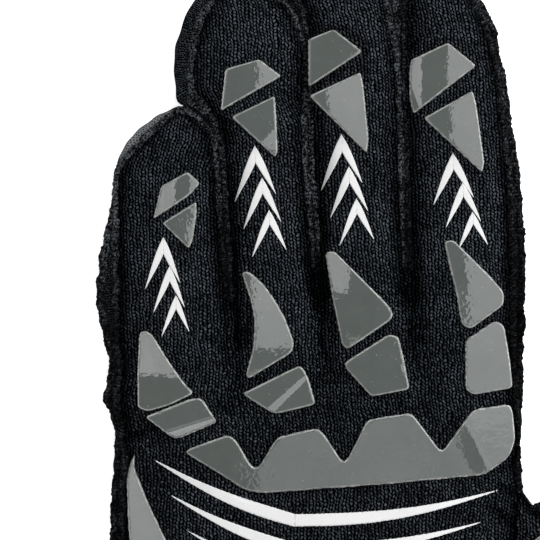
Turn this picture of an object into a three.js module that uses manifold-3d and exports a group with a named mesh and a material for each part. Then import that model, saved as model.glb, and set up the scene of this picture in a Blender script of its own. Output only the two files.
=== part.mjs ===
// Left-hand off-road racing glove lying palm down.
// Millimetres. +X runs from the little finger to the thumb, +Y to the fingertips, +Z up from the surface.
// The origin lies on the underside of the palm.

import * as THREE from 'three';
import { mergeVertices } from 'three/addons/utils/BufferGeometryUtils.js';
import Module from 'manifold-3d';

const wasm = await Module();
wasm.setup();

// Driving sizes

const CLEARANCE = 0.3;
const BACK_WALL = 1.8;
const SIDE_WALL = 1.4;
const PALM_WALL = 1.5;
const PAD_THICKNESS = 1.6;

const PALM_INSET = 0.6;
const SIDE_HEIGHT_HAND = 8.5;
const CROWN_KNUCKLES = 18;
const CROWN_WRIST = 15;
const RIDGES_FADE_AT = -22;
const CROTCH_DROP = 0.8;
const ARCH_POWER = 3.4;
const FINGER_COLUMNS = 6;
const PALM_COLUMNS = 2;

const CUFF_START = -95.5;
const CUFF_END = -121;
const CUFF_POINTS = 28;
const HEM_BULGE = 0.9;

// Outline of each finger, one row for each height up the finger: where its left and right edges lie, and how
// far inside them the seam of the back panel runs.

const FINGERS = [
  {
    name: 'little', crown: 13.5, side: 7.6, tip: { x: -34.6, y: 75.4 }, roundEnd: 14, leftCrotch: 0, rightCrotch: 0,
    rows: [
      { y: 27.0, left: -56.4, right: -22.9, seamLeft: 5.1, seamRight: 0.8 },
      { y: 35.2, left: -55.8, right: -23.7, seamLeft: 4.3, seamRight: 0.8 },
      { y: 43.4, left: -54.2, right: -24.2, seamLeft: 2.9, seamRight: 0.8 },
      { y: 51.0, left: -53.0, right: -24.7, seamLeft: 1.8, seamRight: 0.8 },
      { y: 58.1, left: -51.8, right: -25.2, seamLeft: 1.0, seamRight: 0.8 },
      { y: 63.8, left: -50.0, right: -25.7, seamLeft: 2.3, seamRight: 0.8 },
      { y: 67.8, left: -47.3, right: -26.6, seamLeft: 3.3, seamRight: 1.0 },
      { y: 71.4, left: -43.4, right: -28.6, seamLeft: 3.3, seamRight: 1.5 },
      { y: 73.8, left: -38.8, right: -31.1, seamLeft: 2.3, seamRight: 1.8 },
    ],
  },
  {
    name: 'ring', crown: 14.5, side: 7.6, tip: { x: -18.4, y: 107.2 }, roundEnd: 16, leftCrotch: 0, rightCrotch: 1,
    rows: [
      { y: 27.0, left: -22.3, right: 0.2, seamLeft: 0.8, seamRight: 0.8 },
      { y: 35.2, left: -23.1, right: -0.5, seamLeft: 0.8, seamRight: 0.8 },
      { y: 47.0, left: -23.8, right: -1.6, seamLeft: 0.8, seamRight: 0.8 },
      { y: 58.1, left: -24.6, right: -2.4, seamLeft: 0.8, seamRight: 0.8 },
      { y: 65.8, left: -25.3, right: -2.8, seamLeft: 0.9, seamRight: 0.8 },
      { y: 71.0, left: -27.4, right: -3.0, seamLeft: 1.5, seamRight: 0.8 },
      { y: 74.4, left: -31.0, right: -3.0, seamLeft: 2.8, seamRight: 0.8 },
      { y: 76.9, left: -35.2, right: -2.9, seamLeft: 4.1, seamRight: 0.8 },
      { y: 84.0, left: -36.3, right: -2.8, seamLeft: 4.1, seamRight: 0.8 },
      { y: 90.0, left: -35.7, right: -3.2, seamLeft: 4.1, seamRight: 0.8 },
      { y: 95.6, left: -34.4, right: -4.6, seamLeft: 4.1, seamRight: 1.0 },
      { y: 100.7, left: -32.1, right: -6.9, seamLeft: 4.1, seamRight: 1.3 },
      { y: 104.3, left: -28.6, right: -9.9, seamLeft: 3.4, seamRight: 2.0 },
      { y: 106.3, left: -24.0, right: -13.6, seamLeft: 2.3, seamRight: 2.0 },
    ],
  },
  {
    name: 'middle', crown: 15, side: 7.6, tip: { x: 5.0, y: 115.0 }, roundEnd: 16, leftCrotch: 1, rightCrotch: 1,
    rows: [
      { y: 27.0, left: 0.8, right: 23.4, seamLeft: 0.8, seamRight: 0.8 },
      { y: 35.2, left: 0.1, right: 22.7, seamLeft: 0.8, seamRight: 0.8 },
      { y: 47.0, left: -1.0, right: 22.1, seamLeft: 0.8, seamRight: 0.8 },
      { y: 58.1, left: -1.8, right: 21.8, seamLeft: 0.7, seamRight: 0.8 },
      { y: 66.3, left: -2.2, right: 21.7, seamLeft: 0.6, seamRight: 0.8 },
      { y: 76.5, left: -2.2, right: 21.5, seamLeft: 0.5, seamRight: 0.8 },
      { y: 86.7, left: -2.1, right: 21.3, seamLeft: 0.5, seamRight: 1.6 },
      { y: 92.3, left: -2.6, right: 21.1, seamLeft: 0.6, seamRight: 2.3 },
      { y: 97.0, left: -4.0, right: 20.9, seamLeft: 1.2, seamRight: 3.1 },
      { y: 101.4, left: -6.1, right: 20.4, seamLeft: 1.9, seamRight: 3.3 },
      { y: 105.6, left: -7.7, right: 19.2, seamLeft: 2.4, seamRight: 3.1 },
      { y: 110.2, left: -6.6, right: 16.8, seamLeft: 2.5, seamRight: 2.6 },
      { y: 112.9, left: -4.0, right: 13.4, seamLeft: 2.3, seamRight: 2.3 },
      { y: 114.3, left: -0.5, right: 10.2, seamLeft: 2.0, seamRight: 2.0 },
    ],
  },
  {
    name: 'index', crown: 14.5, side: 7.6, tip: { x: 30.4, y: 108.9 }, roundEnd: 15, leftCrotch: 1, rightCrotch: 0,
    rows: [
      { y: 27.0, left: 24.0, right: 52.7, seamLeft: 0.8, seamRight: 3.4 },
      { y: 35.2, left: 23.3, right: 52.8, seamLeft: 0.8, seamRight: 3.4 },
      { y: 47.0, left: 22.7, right: 52.4, seamLeft: 0.8, seamRight: 3.3 },
      { y: 58.1, left: 22.4, right: 51.5, seamLeft: 0.8, seamRight: 3.1 },
      { y: 66.3, left: 22.3, right: 50.2, seamLeft: 0.7, seamRight: 2.8 },
      { y: 74.7, left: 22.1, right: 49.2, seamLeft: 0.6, seamRight: 2.5 },
      { y: 81.6, left: 22.0, right: 48.3, seamLeft: 0.6, seamRight: 2.5 },
      { y: 88.4, left: 21.9, right: 46.7, seamLeft: 0.7, seamRight: 2.5 },
      { y: 94.6, left: 21.7, right: 45.4, seamLeft: 0.8, seamRight: 2.5 },
      { y: 100.0, left: 21.7, right: 43.2, seamLeft: 1.0, seamRight: 2.5 },
      { y: 103.5, left: 22.1, right: 40.7, seamLeft: 1.5, seamRight: 2.3 },
      { y: 106.3, left: 23.8, right: 37.6, seamLeft: 2.0, seamRight: 2.3 },
      { y: 108.1, left: 26.6, right: 34.3, seamLeft: 2.0, seamRight: 2.0 },
    ],
  },
];

// Outline of the hand from below the crotches to the wrist, in the same columns.

const HAND_ROWS = [
  { y: 19.9, left: -55.6, right: 52.7, seamLeft: 4.5, seamRight: 3.4 },
  { y: 13.8, left: -54.2, right: 52.4, seamLeft: 3.3, seamRight: 3.2 },
  { y: 7.4, left: -53.1, right: 52.5, seamLeft: 2.8, seamRight: 3.1 },
  { y: 0.8, left: -54.5, right: 52.4, seamLeft: 3.3, seamRight: 2.4 },
  { y: -6.9, left: -52.3, right: 52.0, seamLeft: 2.3, seamRight: 1.2 },
  { y: -14.5, left: -52.0, right: 51.7, seamLeft: 2.5, seamRight: 1.0 },
  { y: -23.0, left: -52.5, right: 52.6, seamLeft: 3.1, seamRight: 1.0 },
  { y: -31.5, left: -52.9, right: 51.5, seamLeft: 3.3, seamRight: 0.8 },
  { y: -42.0, left: -52.4, right: 50.7, seamLeft: 3.3, seamRight: 0.8 },
  { y: -54.0, left: -51.3, right: 49.5, seamLeft: 3.1, seamRight: 0.8 },
  { y: -66.0, left: -49.5, right: 47.9, seamLeft: 2.8, seamRight: 1.0 },
  { y: -76.5, left: -47.9, right: 46.2, seamLeft: 2.5, seamRight: 1.4 },
  { y: -85.7, left: -46.8, right: 44.4, seamLeft: 2.5, seamRight: 2.0 },
  { y: -95.1, left: -45.9, right: 43.1, seamLeft: 2.3, seamRight: 2.3 },
];

// The thumb joins the hand between these two rows. Its base stands a little off the hand's seam and is a
// little shorter than the opening there.

const THUMB_FIRST_ROW = 6;
const THUMB_LAST_ROW = 10;
const THUMB_BASE_GAP = 0.5;
const THUMB_BASE_MIDDLE = -45;
const THUMB_BASE_TAPER = 0.04;
const THUMB_BASE_RISE = 1.5;

// Outline of the thumb: its upper and lower edges, from the hand to the tip.

const THUMB = {
  crown: 14.5, side: 7.8, tip: { x: 106.0, y: 5.0 }, roundEnd: 15,
  rows: [
    { upperX: 55.6, upperY: -27.0, lowerX: 55.5, lowerY: -64.5, seam: 1.6 },
    { upperX: 62.2, upperY: -22.4, lowerX: 65.0, lowerY: -58.0, seam: 2.2 },
    { upperX: 71.0, upperY: -14.6, lowerX: 76.0, lowerY: -47.0, seam: 2.2 },
    { upperX: 79.5, upperY: -6.6, lowerX: 86.0, lowerY: -36.2, seam: 2.2 },
    { upperX: 87.2, upperY: 1.2, lowerX: 95.0, lowerY: -25.6, seam: 2.2 },
    { upperX: 93.4, upperY: 6.6, lowerX: 102.0, lowerY: -15.6, seam: 2.2 },
    { upperX: 98.6, upperY: 8.8, lowerX: 106.0, lowerY: -7.6, seam: 2.0 },
    { upperX: 102.8, upperY: 8.0, lowerX: 107.2, lowerY: -1.6, seam: 1.8 },
  ],
};

// Outlines of the moulded pads as seen from above.

const PADS = {
  little_tip_pad: [[-40.0, 54.5], [-33.2, 58.2], [-30.0, 55.3], [-32.6, 52.3], [-36.3, 49.8], [-42.0, 46.1]],
  little_mid_pad: [[-39.7, 45.1], [-31.0, 50.6], [-30.9, 47.7], [-31.9, 40.8], [-32.9, 38.5]],
  little_shield: [
    [-45.5, 17.3], [-43.7, 17.7], [-42.1, 16.5], [-38.1, 10.0], [-33.8, 4.0], [-31.5, 1.8], [-38.1, -1.4],
    [-43.4, -2.9], [-45.9, -2.0], [-46.0, 6.6],
  ],
  little_base_pad: [[-44.1, -4.2], [-32.4, 0.4], [-29.6, 0.6], [-25.6, -5.6], [-35.2, -9.6], [-37.0, -9.6]],
  ring_tip_pad: [[-23.6, 84.3], [-15.0, 86.8], [-9.3, 82.5], [-24.8, 73.6]],
  ring_mid_pad: [[-22.1, 72.1], [-11.0, 77.5], [-10.6, 71.7], [-10.3, 63.2], [-10.9, 61.8]],
  ring_shield: [
    [-19.5, 32.4], [-18.3, 32.9], [-16.8, 32.2], [-13.5, 29.1], [-10.7, 25.0], [-8.4, 20.9], [-6.1, 14.8],
    [-6.6, 12.2], [-17.6, 5.5], [-18.4, 6.4], [-16.6, 13.3], [-16.2, 17.9], [-16.3, 21.7], [-17.3, 26.0],
  ],
  ring_base_pad: [[-19.4, 1.7], [-5.1, 8.8], [-3.8, 8.3], [-2.3, 5.1], [-0.6, -1.0], [-10.5, -3.4], [-12.2, -2.9]],
  middle_tip_pad: [[-0.9, 92.6], [4.0, 94.6], [11.4, 88.9], [-0.9, 80.5]],
  middle_mid_pad: [[-0.9, 77.7], [10.8, 83.5], [11.5, 80.1], [12.8, 66.8], [12.4, 62.8]],
  middle_shield: [
    [1.8, 37.7], [4.1, 38.0], [17.7, 24.4], [19.1, 22.2], [18.6, 20.5], [7.5, 12.9], [6.1, 14.0], [3.7, 25.8],
  ],
  middle_base_pad: [[6.8, 9.7], [17.9, 16.8], [20.4, 16.3], [21.6, 11.5], [23.3, 2.8], [13.5, 0.9], [6.9, 8.3]],
  index_tip_pad: [[23.7, 86.7], [33.1, 91.1], [40.3, 85.2], [24.3, 72.9], [23.3, 77.0], [23.3, 84.2]],
  index_mid_pad: [[26.8, 71.8], [39.3, 78.8], [40.2, 75.5], [42.3, 60.4], [41.7, 57.9]],
  index_shield: [
    [32.0, 40.4], [34.4, 40.9], [44.1, 31.2], [47.3, 27.4], [47.1, 24.2], [38.8, 18.1], [36.5, 19.1],
    [35.2, 26.9], [33.4, 34.0],
  ],
  index_base_pad: [[37.5, 15.3], [45.1, 20.3], [47.4, 19.1], [48.9, 10.2], [49.6, 3.1], [39.5, 1.3], [37.5, 2.8]],
  knuckle_bar: [
    [-33.9, -13.3], [-32.9, -12.3], [-22.9, -8.7], [-20.9, -9.9], [-17.1, -16.6], [-15.9, -17.2],
    [-14.8, -16.6], [-10.5, -9.3], [0.0, -6.9], [2.0, -9.2], [5.9, -15.3], [6.5, -15.6], [7.3, -15.2],
    [12.5, -4.8], [23.7, -3.1], [30.5, -12.1], [31.3, -12.8], [32.1, -12.2], [39.4, -2.3], [48.8, -1.0],
    [49.6, -3.1], [50.2, -10.2], [48.6, -14.5], [42.3, -18.9], [14.9, -21.4], [-14.1, -23.5],
    [-18.4, -22.9], [-25.2, -18.6],
  ],
  side_pad: [
    [-46.7, -13.4], [-47.0, -17.3], [-43.9, -25.0], [-40.3, -32.6], [-35.7, -42.3], [-34.2, -48.5],
    [-36.7, -54.1], [-42.8, -57.1], [-45.9, -54.1], [-47.4, -44.6], [-48.1, -35.7], [-48.7, -26.0],
    [-48.8, -20.0], [-48.2, -16.8],
  ],
};
const THUMB_PAD = [[54.8, -35.4], [66.4, -29.6], [84.6, -13.4], [86.2, -19.6], [77.0, -33.4], [64.6, -46.4], [57.4, -49.6]];

// Finishes

const FINISHES = {
  knit: new THREE.MeshStandardMaterial({ color: 0x0b0b0c, roughness: 0.9, metalness: 0 }),
  woven: new THREE.MeshStandardMaterial({ color: 0x141415, roughness: 0.85, metalness: 0 }),
  suede: new THREE.MeshStandardMaterial({ color: 0x1b1b1c, roughness: 0.8, metalness: 0 }),
  rubber: new THREE.MeshStandardMaterial({ color: 0x6a6a6c, roughness: 0.35, metalness: 0 }),
};

// Small helpers

const mix = (a, b, t) => a + (b - a) * t;
const clamp01 = (t) => Math.min(1, Math.max(0, t));
const smooth = (t) => clamp01(t) ** 2 * (3 - 2 * clamp01(t));

// A sheet with thickness: corners carry an outer and an inner place, faces are triangles of corner numbers,
// and every free edge is closed by a wall.

class Sheet {
  constructor() {
    this.corners = [];
    this.places = new Map();
    this.faces = [];
  }

  corner(outer, inner) {
    const key = outer.map((value) => value.toFixed(4)).join(' ');
    if (!this.places.has(key)) {
      this.places.set(key, this.corners.length);
      this.corners.push({ outer, inner });
    }
    return this.places.get(key);
  }

  triangle(a, b, c) {
    if (a !== b && b !== c && c !== a) this.faces.push([a, b, c]);
  }

  // Rows of corner numbers that run the same way, one above the other.
  grid(rows) {
    for (let row = 0; row + 1 < rows.length; row += 1) {
      for (let column = 0; column + 1 < rows[row].length; column += 1) {
        const [a, b] = [rows[row][column], rows[row][column + 1]];
        const [d, c] = [rows[row + 1][column], rows[row + 1][column + 1]];
        this.triangle(a, b, c);
        this.triangle(a, c, d);
      }
    }
  }

  geometry(outerPlace = (corner) => corner.outer, innerPlace = (corner) => corner.inner) {
    const count = this.corners.length;
    const positions = [...this.corners.map(outerPlace), ...this.corners.map(innerPlace)].flat();
    const indices = [];
    const edges = new Set();
    for (const [a, b, c] of this.faces) {
      indices.push(a, b, c, count + a, count + c, count + b);
      for (const [from, to] of [[a, b], [b, c], [c, a]]) edges.add(`${from} ${to}`);
    }
    for (const edge of edges) {
      const [from, to] = edge.split(' ').map(Number);
      if (!edges.has(`${to} ${from}`)) indices.push(from, count + from, to, to, count + from, count + to);
    }
    const geometry = new THREE.BufferGeometry();
    geometry.setAttribute('position', new THREE.Float32BufferAttribute(positions, 3));
    geometry.setIndex(indices);
    return geometry;
  }
}

const glove = new THREE.Group();

function addPiece(name, geometry, finish) {
  const faceted = geometry.index ? geometry.toNonIndexed() : geometry;
  faceted.computeVertexNormals();
  const mesh = new THREE.Mesh(faceted, FINISHES[finish]);
  mesh.name = name;
  glove.add(mesh);
}

// Height of a finger's crown: level along the finger, rounded off towards the tip.

function fingerCrown(finger, distanceToTip) {
  const q = clamp01(1 - distanceToTip / finger.roundEnd);
  return mix(finger.side, finger.crown, Math.sqrt(1 - q * q));
}

function fingerSide(finger, distanceToTip) {
  return finger.side - 1.6 * clamp01(1 - distanceToTip / finger.roundEnd) ** 2;
}

const handCrown = (y) => mix(CROWN_WRIST, CROWN_KNUCKLES, smooth((y + 95) / 95));

// How much of each finger's own ridge is left at a height down the hand: all of it at the crotches.

const ridgeShare = (y) => smooth((y - RIDGES_FADE_AT) / (FINGERS[0].rows[0].y - RIDGES_FADE_AT));
const handSide = (finger, y) => mix(SIDE_HEIGHT_HAND, finger.side, ridgeShare(y));

// The outline of the whole glove as a walk round it: up the outer edge of the hand, round each finger and the
// thumb, and down to the wrist. Each stop keeps the side height and the seam's inset there.

const walk = [];
const stops = new Map();

function stop(label, x, y, seam, side) {
  const point = { label, x, y, seam, side };
  walk.push(point);
  stops.set(label, point);
}

for (let index = HAND_ROWS.length - 1; index >= 0; index -= 1) {
  const row = HAND_ROWS[index];
  stop(`hand left ${index}`, row.left, row.y, row.seamLeft, handSide(FINGERS[0], row.y));
}
FINGERS.forEach((finger, number) => {
  const last = finger.rows.length - 1;
  finger.rows.forEach((row, index) => {
    const side = fingerSide(finger, finger.tip.y - row.y);
    if (index >= finger.leftCrotch) stop(`${finger.name} left ${index}`, row.left, row.y, row.seamLeft, side);
  });
  const tipSide = fingerSide(finger, 0);
  stop(`${finger.name} tip`, finger.tip.x, finger.tip.y, finger.rows[last].seamLeft, tipSide);
  for (let index = last; index >= finger.rightCrotch; index -= 1) {
    const row = finger.rows[index];
    const side = fingerSide(finger, finger.tip.y - row.y);
    stop(`${finger.name} right ${index}`, row.right, row.y, row.seamRight, side);
  }
  const next = FINGERS[number + 1];
  if (next) {
    const row = finger.rows[finger.rightCrotch];
    const nextRow = next.rows[next.leftCrotch];
    stop(`${finger.name} crotch`, (row.right + nextRow.left) / 2, row.y - CROTCH_DROP, 0.8, finger.side);
  }
});
for (let index = 0; index <= THUMB_FIRST_ROW; index += 1) {
  const row = HAND_ROWS[index];
  stop(`hand right ${index}`, row.right, row.y, row.seamRight, handSide(FINGERS.at(-1), row.y));
}
const thumbLast = THUMB.rows.length - 1;
const thumbReach = (row) => Math.hypot(
  THUMB.tip.x - (row.upperX + row.lowerX) / 2,
  THUMB.tip.y - (row.upperY + row.lowerY) / 2,
);
THUMB.rows.forEach((row, index) => {
  stop(`thumb upper ${index}`, row.upperX, row.upperY, row.seam, fingerSide(THUMB, thumbReach(row)));
});
stop('thumb tip', THUMB.tip.x, THUMB.tip.y, THUMB.rows[thumbLast].seam, fingerSide(THUMB, 0));
for (let index = thumbLast; index >= 0; index -= 1) {
  const row = THUMB.rows[index];
  stop(`thumb lower ${index}`, row.lowerX, row.lowerY, row.seam, fingerSide(THUMB, thumbReach(row)));
}
for (let index = THUMB_LAST_ROW; index < HAND_ROWS.length; index += 1) {
  const row = HAND_ROWS[index];
  stop(`hand right ${index}`, row.right, row.y, row.seamRight, handSide(FINGERS.at(-1), row.y));
}

// The way inwards at each stop, square to the outline there. The walk runs clockwise seen from above.

walk.forEach((point, index) => {
  const before = walk[Math.max(0, index - 1)];
  const after = walk[Math.min(walk.length - 1, index + 1)];
  const inDirection = new THREE.Vector2(point.x - before.x, point.y - before.y).normalize();
  const outDirection = new THREE.Vector2(after.x - point.x, after.y - point.y).normalize();
  const along = inDirection.add(outDirection);
  if (along.length() < 0.3) along.set(after.x - before.x, after.y - before.y);
  along.normalize();
  point.inward = { x: along.y, y: -along.x };
});
for (const label of ['hand left 13', 'hand right 13']) {
  const point = stops.get(label);
  point.inward = { x: Math.sign(-point.x), y: 0 };
}

const insetPlace = (point, inset) => ({ x: point.x + point.inward.x * inset, y: point.y + point.inward.y * inset });

function fingerEdge(finger, side, index, inset) {
  const point = stops.get(`${finger.name} ${side} ${index}`);
  if (point) return insetPlace(point, inset ?? point.seam);
  const row = finger.rows[index];
  const sign = side === 'left' ? 1 : -1;
  return { x: row[side] + sign * 0.8, y: row.y };
}

function handEdge(side, index, inset) {
  const point = stops.get(`hand ${side} ${index}`);
  const row = HAND_ROWS[index];
  if (point) return insetPlace(point, inset ?? point.seam);
  const sign = side === 'left' ? 1 : -1;
  const seam = side === 'left' ? row.seamLeft : row.seamRight;
  return { x: row[side] + sign * (inset ?? seam), y: row.y };
}

// A surface over the hand and the fingers: columns run down from each finger into the hand, with one narrow
// column between neighbouring fingers. place(x, y, height) turns a point into a corner of the sheet.

function gloveSurface(columns, edgeInset, corner, heights) {
  const sheet = new Sheet();
  const spread = [...Array(columns + 1).keys()].map((column) => column / columns);
  const fingerRow = (finger, index) => {
    const left = fingerEdge(finger, 'left', index, edgeInset);
    const right = fingerEdge(finger, 'right', index, edgeInset);
    return spread.map((share) => {
      const x = mix(left.x, right.x, share);
      const y = mix(left.y, right.y, share);
      return corner(sheet, x, y, heights.finger(finger, index, share));
    });
  };
  const fingerRows = FINGERS.map((finger) => finger.rows.map((row, index) => fingerRow(finger, index)));
  const topShares = FINGERS.map((finger) => {
    const left = fingerEdge(finger, 'left', 0, edgeInset);
    const right = fingerEdge(finger, 'right', 0, edgeInset);
    return spread.map((share) => mix(left.x, right.x, share));
  }).flat();
  const [first, last] = [topShares[0], topShares.at(-1)];
  const handRows = [fingerRows.map((rows) => rows[0]).flat()];
  HAND_ROWS.forEach((row, index) => {
    const left = handEdge('left', index, edgeInset);
    const right = handEdge('right', index, edgeInset);
    handRows.push(topShares.map((topX, column) => {
      const share = (topX - first) / (last - first);
      const fingerNumber = Math.floor(column / (columns + 1));
      const fingerShare = spread[column % (columns + 1)];
      const x = mix(left.x, right.x, share);
      const y = mix(left.y, right.y, share);
      return corner(sheet, x, y, heights.hand(FINGERS[fingerNumber], fingerShare, share, row.y));
    }));
  });
  sheet.grid(handRows.reverse());
  FINGERS.forEach((finger, number) => {
    const tip = insetPlace(stops.get(`${finger.name} tip`), edgeInset ?? stops.get(`${finger.name} tip`).seam);
    const tipCorner = corner(sheet, tip.x, tip.y, heights.tip(finger));
    sheet.grid([...fingerRows[number], spread.map(() => tipCorner)]);
    for (let index = 0; index < finger.rightCrotch; index += 1) {
      const neighbour = fingerRows[number + 1];
      if (neighbour) {
        sheet.grid([
          [fingerRows[number][index].at(-1), neighbour[index][0]],
          [fingerRows[number][index + 1].at(-1), neighbour[index + 1][0]],
        ]);
      }
    }
  });
  return sheet;
}

// Arch of a back across its width: 0 at the seams, 1 at the crown.
const arch = (share) => 1 - Math.abs(2 * share - 1) ** ARCH_POWER;

const backHeights = {
  finger: (finger, index, share) => {
    const reach = finger.tip.y - finger.rows[index].y;
    return mix(fingerSide(finger, reach), fingerCrown(finger, reach), arch(share));
  },
  hand: (finger, fingerShare, handShare, y) => {
    const ridge = mix(finger.side, finger.crown, arch(fingerShare));
    const broad = mix(SIDE_HEIGHT_HAND, handCrown(y), arch(handShare));
    return mix(broad, ridge, ridgeShare(y));
  },
  tip: (finger) => fingerSide(finger, 0),
};

const backSurface = gloveSurface(
  FINGER_COLUMNS,
  undefined,
  (sheet, x, y, height) => sheet.corner([x, y, height], [x, y, height - BACK_WALL]),
  backHeights,
);
addPiece('back_panel', backSurface.geometry(), 'knit');

// The palm lies flat on the surface: its visible side faces down.

const flat = { finger: () => PALM_WALL, hand: () => PALM_WALL, tip: () => PALM_WALL };
const palmSurface = gloveSurface(
  PALM_COLUMNS,
  PALM_INSET,
  (sheet, x, y, height) => sheet.corner([x, y, height], [x, y, 0]),
  flat,
);
addPiece('palm_panel', palmSurface.geometry(), 'suede');

// A side strip stands between the palm and the back: its lower edge over the palm's edge, its belly on the
// outline, its upper edge under the seam of the back panel.

function stripProfile(point) {
  const low = PALM_WALL + CLEARANCE;
  const high = point.side - BACK_WALL - CLEARANCE;
  const lean = Math.max(0.3, point.seam - 0.2);
  return [
    { inset: 0.5, z: low },
    { inset: 0, z: mix(low, high, 0.4) },
    { inset: lean * 0.25, z: mix(low, high, 0.8) },
    { inset: lean, z: high },
  ];
}

function profileInside(profile, index) {
  const before = profile[Math.max(0, index - 1)];
  const after = profile[Math.min(profile.length - 1, index + 1)];
  const run = after.inset - before.inset;
  const rise = after.z - before.z;
  const length = Math.hypot(run, rise);
  const inset = profile[index].inset + (SIDE_WALL * rise) / length;
  const z = index === 0 ? profile[0].z : profile[index].z - (SIDE_WALL * run) / length;
  return { inset, z: Math.max(z, PALM_WALL + CLEARANCE) };
}

function sideStrip(points) {
  const sheet = new Sheet();
  const rows = points.map((point) => {
    const profile = stripProfile(point);
    return profile.map((stage, index) => {
      const outside = insetPlace(point, stage.inset);
      const inner = profileInside(profile, index);
      const inside = insetPlace(point, inner.inset);
      return sheet.corner([outside.x, outside.y, stage.z], [inside.x, inside.y, inner.z]);
    });
  });
  sheet.grid(rows);
  return sheet.geometry();
}

// A strip from one stop to another, drawn back a little at each end from the strip that it meets.

function stripBetween(fromLabel, toLabel, trimStart = true, trimEnd = true) {
  const from = walk.findIndex((point) => point.label === fromLabel);
  const to = walk.findIndex((point) => point.label === toLabel);
  const points = walk.slice(from, to + 1).map((point) => ({ ...point }));
  const drawBack = (point, neighbour) => {
    const length = Math.hypot(neighbour.x - point.x, neighbour.y - point.y);
    point.x = mix(point.x, neighbour.x, CLEARANCE / length);
    point.y = mix(point.y, neighbour.y, CLEARANCE / length);
  };
  if (trimStart) drawBack(points[0], points[1]);
  if (trimEnd) drawBack(points.at(-1), points.at(-2));
  return points;
}

const STRIPS = {
  side_wall_little: ['hand left 13', 'little tip'],
  fourchette_little_ring: ['little tip', 'ring tip'],
  fourchette_ring_middle: ['ring tip', 'middle tip'],
  fourchette_middle_index: ['middle tip', 'index tip'],
  side_wall_index: ['index tip', 'thumb upper 0'],
  thumb_wall: ['thumb upper 0', 'thumb lower 0'],
  side_wall_wrist: ['thumb lower 0', 'hand right 13'],
};
for (const [name, [from, to]] of Object.entries(STRIPS)) {
  addPiece(name, sideStrip(stripBetween(from, to)), 'woven');
}

// The thumb's back and palm, from the hand's right seam out to the tip.

function thumbSurface(columns, edgeInset, baseInset, corner, height) {
  const sheet = new Sheet();
  const spread = [...Array(columns + 1).keys()].map((column) => column / columns);
  const baseRows = HAND_ROWS.slice(THUMB_FIRST_ROW, THUMB_LAST_ROW + 1);
  const base = spread.map((share) => {
    const step = share * (baseRows.length - 1);
    const low = Math.min(baseRows.length - 2, Math.floor(step));
    const at = (key) => mix(baseRows[low][key], baseRows[low + 1][key], step - low);
    const y = mix(at('y'), THUMB_BASE_MIDDLE, THUMB_BASE_TAPER);
    return corner(sheet, at('right') - baseInset(at) + THUMB_BASE_GAP, y, height(-1, share));
  });
  const rows = THUMB.rows.map((row, index) => {
    const upper = insetPlace(stops.get(`thumb upper ${index}`), edgeInset ?? row.seam);
    const lower = insetPlace(stops.get(`thumb lower ${index}`), edgeInset ?? row.seam);
    return spread.map((share) => {
      const [x, y] = [mix(upper.x, lower.x, share), mix(upper.y, lower.y, share)];
      return corner(sheet, x, y, height(index, share));
    });
  });
  const tip = insetPlace(stops.get('thumb tip'), edgeInset ?? stops.get('thumb tip').seam);
  const tipCorner = corner(sheet, tip.x, tip.y, height(THUMB.rows.length, 0));
  sheet.grid([base, ...rows, spread.map(() => tipCorner)]);
  return sheet;
}

function thumbHeight(index, share) {
  if (index < 0) return SIDE_HEIGHT_HAND - CLEARANCE + THUMB_BASE_RISE * arch(share);
  const reach = index < THUMB.rows.length ? thumbReach(THUMB.rows[index]) : 0;
  return mix(fingerSide(THUMB, reach), fingerCrown(THUMB, reach), arch(share));
}

const thumbBack = thumbSurface(
  FINGER_COLUMNS,
  undefined,
  (at) => at('seamRight'),
  (sheet, x, y, height) => sheet.corner([x, y, height], [x, y, height - BACK_WALL]),
  thumbHeight,
);
addPiece('thumb_back', thumbBack.geometry(), 'knit');

const thumbPalm = thumbSurface(
  PALM_COLUMNS * 2,
  PALM_INSET,
  () => PALM_INSET,
  (sheet, x, y, height) => sheet.corner([x, y, height], [x, y, 0]),
  () => PALM_WALL,
);
addPiece('thumb_palm', thumbPalm.geometry(), 'suede');

// The cuff: a flat tube with a rolled hem.

function cuffRing(y, bulge) {
  const wrist = HAND_ROWS.at(-1);
  const centre = (wrist.left + wrist.right) / 2;
  const halfWidth = (wrist.right - wrist.left) / 2 + bulge;
  const halfHeight = CROWN_WRIST / 2;
  return [...Array(CUFF_POINTS).keys()].map((number) => {
    const angle = (number / CUFF_POINTS) * 2 * Math.PI;
    const round = (value, power) => Math.sign(value) * Math.abs(value) ** power;
    const across = round(Math.cos(angle), 0.75);
    const up = round(Math.sin(angle), 0.6);
    const outer = [centre + halfWidth * across, y, Math.max(0, halfHeight + (halfHeight + bulge) * up)];
    const inner = [
      centre + (halfWidth - bulge - BACK_WALL) * across, y,
      halfHeight + (halfHeight - BACK_WALL) * up,
    ];
    return { outer, inner };
  });
}

function cuffGeometry() {
  const sheet = new Sheet();
  const stages = [
    [CUFF_START, 0], [mix(CUFF_START, CUFF_END, 0.5), -0.3], [CUFF_END + 4, 0], [CUFF_END + 2.5, HEM_BULGE],
    [CUFF_END, HEM_BULGE],
  ];
  const rows = stages.map(([y, bulge]) => {
    const ring = cuffRing(y, bulge).map(({ outer, inner }) => sheet.corner(outer, inner));
    return [...ring, ring[0]];
  });
  sheet.grid(rows);
  return sheet.geometry();
}
addPiece('cuff', cuffGeometry(), 'knit');

// Moulded pads: the part of a layer over the back that lies inside the pad's outline.

function toManifold(geometry) {
  const bare = geometry.clone();
  bare.deleteAttribute('normal');
  bare.deleteAttribute('uv');
  const merged = mergeVertices(bare, 1e-5);
  return new wasm.Manifold(new wasm.Mesh({
    numProp: 3,
    vertProperties: new Float32Array(merged.attributes.position.array),
    triVerts: new Uint32Array(merged.index.array),
  }));
}

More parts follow.
